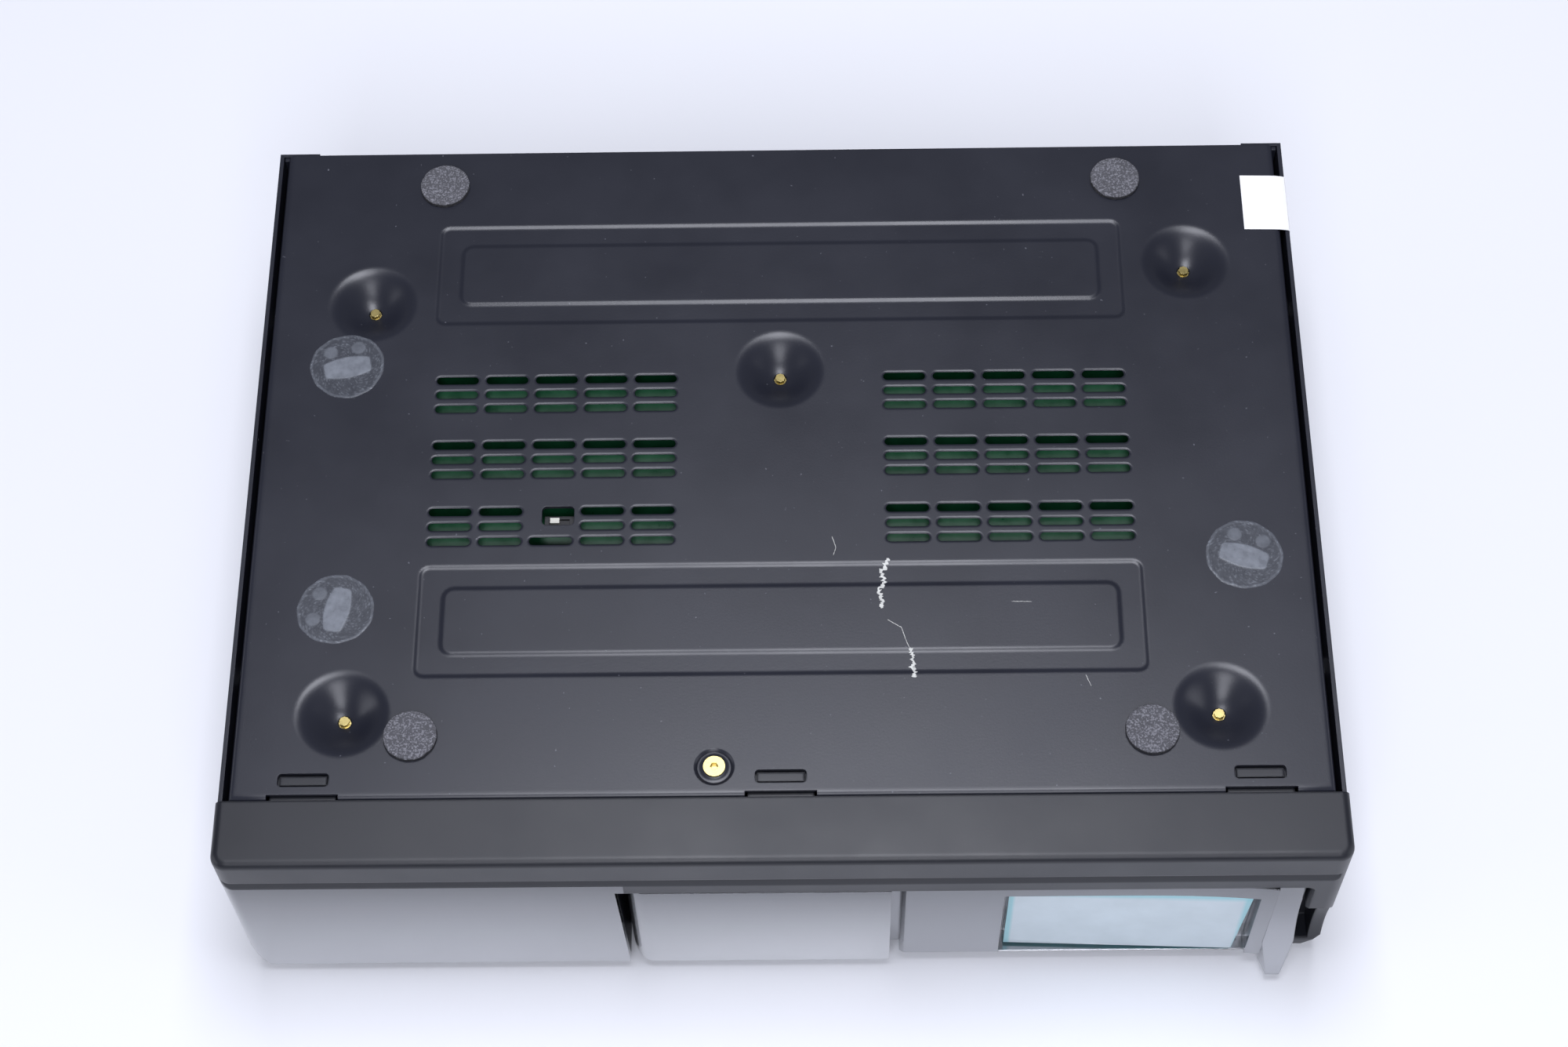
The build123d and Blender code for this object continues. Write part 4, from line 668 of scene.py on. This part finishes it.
# %% Cut the openings
middle = flat[triangles].mean(axis=1)
keep = (np.abs(middle[:, 0]) < half_width) & (middle[:, 1] > 0) & (middle[:, 1] < plate_length)
for x, r in vents:
    keep &= box_distance(middle[:, 0], middle[:, 1], x, r, *slot_size) > 0
for hole in [service_opening, *latch_slots]:
    keep &= box_distance(middle[:, 0], middle[:, 1], *hole) > 0
for x, r, width, length in notches:
    keep &= box_distance(middle[:, 0], middle[:, 1], x, r, width, length, 0.0) > 0
for spot, radius in [(s, screw_hole) for s in bowl_spots] + [(cover_screw, cover_screw_hole)]:
    keep &= np.hypot(*(middle - spot).T) > radius
triangles = triangles[keep]
# r runs to the front, so a triangle that is anticlockwise in (x, r) faces down and is turned
corner = flat[triangles]
area = np.cross(corner[:, 1] - corner[:, 0], corner[:, 2] - corner[:, 0])
triangles[area > 0] = triangles[area > 0][:, ::-1]
used, index = np.unique(triangles, return_inverse=True)
triangles, flat = index.reshape(-1, 3), flat[used]
print(len(triangles), "triangles left")

# %% Press the sheet and fold its outer edge down
sheet = np.column_stack([flat[:, 0], rear - flat[:, 1],
                         face_z + plate_height(flat[:, 0], flat[:, 1])])
# an edge with one triangle is a rim, and where the rim is rolled down it continues as a flange
sides = np.concatenate([triangles[:, [0, 1]], triangles[:, [1, 2]], triangles[:, [2, 0]]])
key = np.sort(sides, axis=1)
_, first_seen, count = np.unique(key, axis=0, return_index=True, return_counts=True)
rim = sides[first_seen[count == 1]]
rolled_down = sheet[:, 2] < face_z - edge_roll + 1e-3
rim = rim[rolled_down[rim].all(axis=1)]
lower = {int(vertex): len(sheet) + n for n, vertex in enumerate(np.unique(rim))}
hem = sheet[list(lower)].copy()
hem[:, 2] = face_z - flange
faces = [list(t) for t in triangles] + [[b, a, lower[a], lower[b]] for a, b in rim.tolist()]
base_plate = piece("base_plate", np.vstack([sheet, hem]), faces, "case_paint", wall=sheet_wall)
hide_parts("bottom_cover")

# %% [markdown]
# ## Foam pads
#
# Four discs punched from sheet foam keep the case from rattling in its bracket. A punched disc
# has a slightly crushed rim and an open, grainy face. Each is a profile turned about its own
# axis: radius and height along the profile, angle round it, with a small swell from noise.

# %% Foam pads
pad_spots = np.array([(x, r) for x in (-84.0, 84.0) for r in (10.3, 162.0)])
pad_height = (cad_box[1][2] - plate_high.z) / MM
# radius, and height over the top of the pad, from the hub to the foot
hub_dip = 0.10
pad_profile = np.array([(1.5, -0.06), (3.0, -0.02), (4.4, 0.0), (5.3, -0.03), (5.8, -0.09),
                        (6.05, -0.20), (6.17, -0.38), (6.2, -0.6), (6.16, -0.9),
                        (6.18, -pad_height)])
pad_steps = 56
swell, most_swell = 0.05, 0.08
random = np.random.default_rng(11)
pad_points, pad_faces = [], []
for spot_x, spot_r in pad_spots:
    angle = np.arange(pad_steps) / pad_steps * tau
    radius, height = pad_profile[:, :1], pad_profile[:, 1:]
    wobble = swell * random.standard_normal((len(radius), pad_steps)) * (radius > 3)
    reach = radius - most_swell + np.minimum(wobble, most_swell)
    ring = np.stack([spot_x + reach * np.cos(angle), rear - spot_r + reach * np.sin(angle),
                     np.broadcast_to(face_z + pad_height + height, wobble.shape)], axis=-1)
    ring[-1, :, 2] = face_z
    start = len(pad_points)
    pad_points += ring.reshape(-1, 3).tolist()
    pad_points += [[spot_x, rear - spot_r, face_z + pad_height - hub_dip],
                   [spot_x, rear - spot_r, face_z]]
    band = quads(len(radius), pad_steps, wrap=True)[:, ::-1] + start
    hub, base = start + len(radius) * pad_steps, start + len(radius) * pad_steps + 1
    ends = np.arange(pad_steps)
    onward = (ends + 1) % pad_steps
    last = start + (len(radius) - 1) * pad_steps
    pad_faces += band.tolist()
    pad_faces += np.column_stack([np.full(pad_steps, hub), start + ends, start + onward]).tolist()
    pad_faces += np.column_stack([np.full(pad_steps, base), last + onward, last + ends]).tolist()
foam_discs = piece("foam_discs", pad_points, pad_faces, "foam_black")
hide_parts("foam_pads")

# %% [markdown]
# ## The bare label
#
# A white paper label is stuck over the right edge, partly on the plate and partly on the side
# wall. Paper bends along one line at a time, so it is a strip along a profile: flat over the
# plate, bridging the narrow gap, and down the wall. Nothing is printed on it here.

# %% Label
wall_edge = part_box("top_cover")[1].x / MM
# x, and height, over the plate and down the side wall
label_profile = np.array([(115.3, face_z), (119.0, face_z), (122.6, face_z),
                          (124.0, face_z - 0.05), (125.3, face_z - 0.22), (126.0, face_z - 0.35),
                          (126.4, face_z - 0.55), (wall_edge, face_z - 0.95),
                          (wall_edge, face_z - 2.2), (wall_edge, face_z - 3.6)])
paper, paper_lift = 0.11, 0.13
label_profile[:, 0] += np.where(label_profile[:, 0] >= wall_edge, paper_lift, 0.0)
label_profile[:, 1] += paper_lift * (label_profile[:, 1] > face_z - 0.9)
label_rows = np.linspace(9.6, 25.8, 9)
curl = 0.02 * np.sin(np.linspace(0, tau, len(label_rows)))
grid_x = np.repeat(label_profile[:, :1], len(label_rows), axis=1)
grid_z = np.repeat(label_profile[:, 1:], len(label_rows), axis=1) + np.maximum(curl, 0)
skew = 0.02 * (grid_x - 115)
grid_r = np.tile(label_rows, (len(label_profile), 1)) + skew
piece("label", np.stack([grid_x, rear - grid_r, grid_z], -1).reshape(-1, 3),
      quads(len(label_profile), len(label_rows))[:, ::-1], "label_white", wall=paper)

# %% [markdown]
# ## Dried adhesive
#
# Three round rubber feet have come off and left thin discs of clear adhesive, with a smooth
# patch in the middle where the tape's backing was. Each is a grid of rings: height = film
# thickness times a soft edge, plus small bumps. The film is nearly clear, and the patch, the
# bumps and the rim are cloudy, so the grid also carries how cloudy each point is.

# %% Cover of the film
film = finishes["glue_film"]
cover = add(film["tree"], "Attribute", attribute_name="patch").outputs["Fac"]
cloud = add(film["tree"], "MapRange", {"Value": cover, "To Min": 0.13, "To Max": 0.62}).outputs[0]
film["tree"].links.new(cloud, film["shader"].inputs["Alpha"])

# %% Films, with the turn of each in radians
glue_spots = {0.2: (-105.1, 62.9), 1.4: (-103.3, 129.3), -0.3: (108.2, 117.2)}
glue_radius, glue_rings, glue_steps = 9.0, 34, 120
soft_edge = 0.4
glue_points, glue_faces, glue_patch = [], [], []
for number, (turn, (spot_x, spot_r)) in enumerate(glue_spots.items()):
    radius = np.linspace(0.05, glue_radius, glue_rings)[:, None]
    angle = np.arange(glue_steps)[None, :] / glue_steps * tau
    edge_wave = 1 + 0.012 * np.sin(3 * angle + number) + 0.008 * np.sin(11 * angle + 2 * number)
    u, v = radius * edge_wave * np.cos(angle), radius * edge_wave * np.sin(angle)
    # the patch is a bow: a rounded rectangle whose length swells in the middle, and two dots
    bow = box_distance(u, v, 0, -0.4, 11.4, 4.2 + 1.8 * np.cos(u / 3.4), 0.8)
    patch = ease(0.5 - bow / soft_edge)
    for dot_x in (-3.4, 3.4):
        dot = np.hypot(u - dot_x, v - 4.6) - 1.7
        patch = np.maximum(patch, 0.55 * ease(0.5 - dot / soft_edge))
    grains = random.random((glue_rings, glue_steps)) ** 6 * (patch < 0.1)
    thick = 0.05 + 0.07 * patch + 0.06 * grains
    bead = 0.05 * ease(1 - abs(glue_radius - 0.5 - radius) / 0.3)
    thick = thick * ease((glue_radius - radius) / 0.3) + 0.01 + bead
    x = spot_x + u * np.cos(turn) - v * np.sin(turn)
    y = rear - spot_r + u * np.sin(turn) + v * np.cos(turn)
    start = len(glue_points)
    glue_points += np.stack([x, y, face_z + thick], -1).reshape(-1, 3).tolist()
    rim = ease(1 - abs(glue_radius - 0.4 - radius) / 0.35)
    glue_patch += np.clip(patch + 0.7 * grains + 0.45 * rim, 0, 1).ravel().tolist()
    rings = quads(glue_rings, glue_steps, wrap=True) + start
    glue_faces += rings.tolist() + [list(range(start, start + glue_steps))]
adhesive = piece("adhesive_rings", glue_points, glue_faces, "glue_film", smooth_angle=60)
adhesive.data.attributes.new("patch", "FLOAT", "POINT").data.foreach_set("value", glue_patch)

# %% [markdown]
# ## Scratches
#
# A hard corner dragged over the paint chips it off in a chalky, ragged line. Each scratch is a
# thin ribbon along a given line: points either side of it, half a width away, with a
# width and a sideways drift from random draws, because a dragged edge skips.

# %% Lines of the scratches, as (x, r) in mm
scratch_lines = {
    "wide": [[(25.4, 117.3), (23.5, 120.6), (24.2, 123.5), (22.7, 125.5), (23.7, 128.2),
              (23.3, 130.4)], [(29.6, 140.6), (30.6, 143.1), (30.2, 145.4), (30.9, 148.2)]],
    "fine": [[(53.5, 128.9), (58.2, 129.0)], [(12.1, 111.3), (13.0, 114.2), (12.4, 116.3)],
             [(24.7, 133.3), (27.9, 135.4), (28.8, 138.4), (29.6, 140.6)],
             [(69.7, 147.9), (70.8, 150.8)]],
}
half_widths = {"wide": 0.55, "fine": 0.09}
drifts = {"wide": 0.25, "fine": 0.03}
scratch_step, scratch_end, scratch_lift = 0.25, 0.02, 0.03

# %% Ribbons
scratch_points, scratch_faces = [], []
for kind, lines in scratch_lines.items():
    for line in lines:
        line = np.array(line)
        run = np.concatenate([[0], np.cumsum(np.hypot(*np.diff(line, axis=0).T))])
        steps = max(int(run[-1] / scratch_step), 4)
        at = np.linspace(0, run[-1], steps)
        x, r = np.interp(at, run, line[:, 0]), np.interp(at, run, line[:, 1])
        ahead = np.gradient(np.stack([x, r]), axis=1)
        ahead /= np.hypot(*ahead)
        width = half_widths[kind] * (0.35 + 0.65 * random.random(steps))
        width[[0, -1]] = scratch_end
        drift = drifts[kind] * random.standard_normal(steps)
        x, r = x - ahead[1] * drift, r + ahead[0] * drift
        strip = np.stack([np.stack([x - ahead[1] * side * width, r + ahead[0] * side * width], -1)
                          for side in (-1, 1)])
        start = len(scratch_points)
        height = plate_height(strip[..., 0], strip[..., 1]) + face_z + scratch_lift
        ribbon = np.stack([strip[..., 0], rear - strip[..., 1], height], -1)
        scratch_points += ribbon.reshape(-1, 3).tolist()
        scratch_faces += (quads(2, steps) + start).tolist()
piece("scratches", scratch_points, scratch_faces, "bare_scratch", wall=0.02)
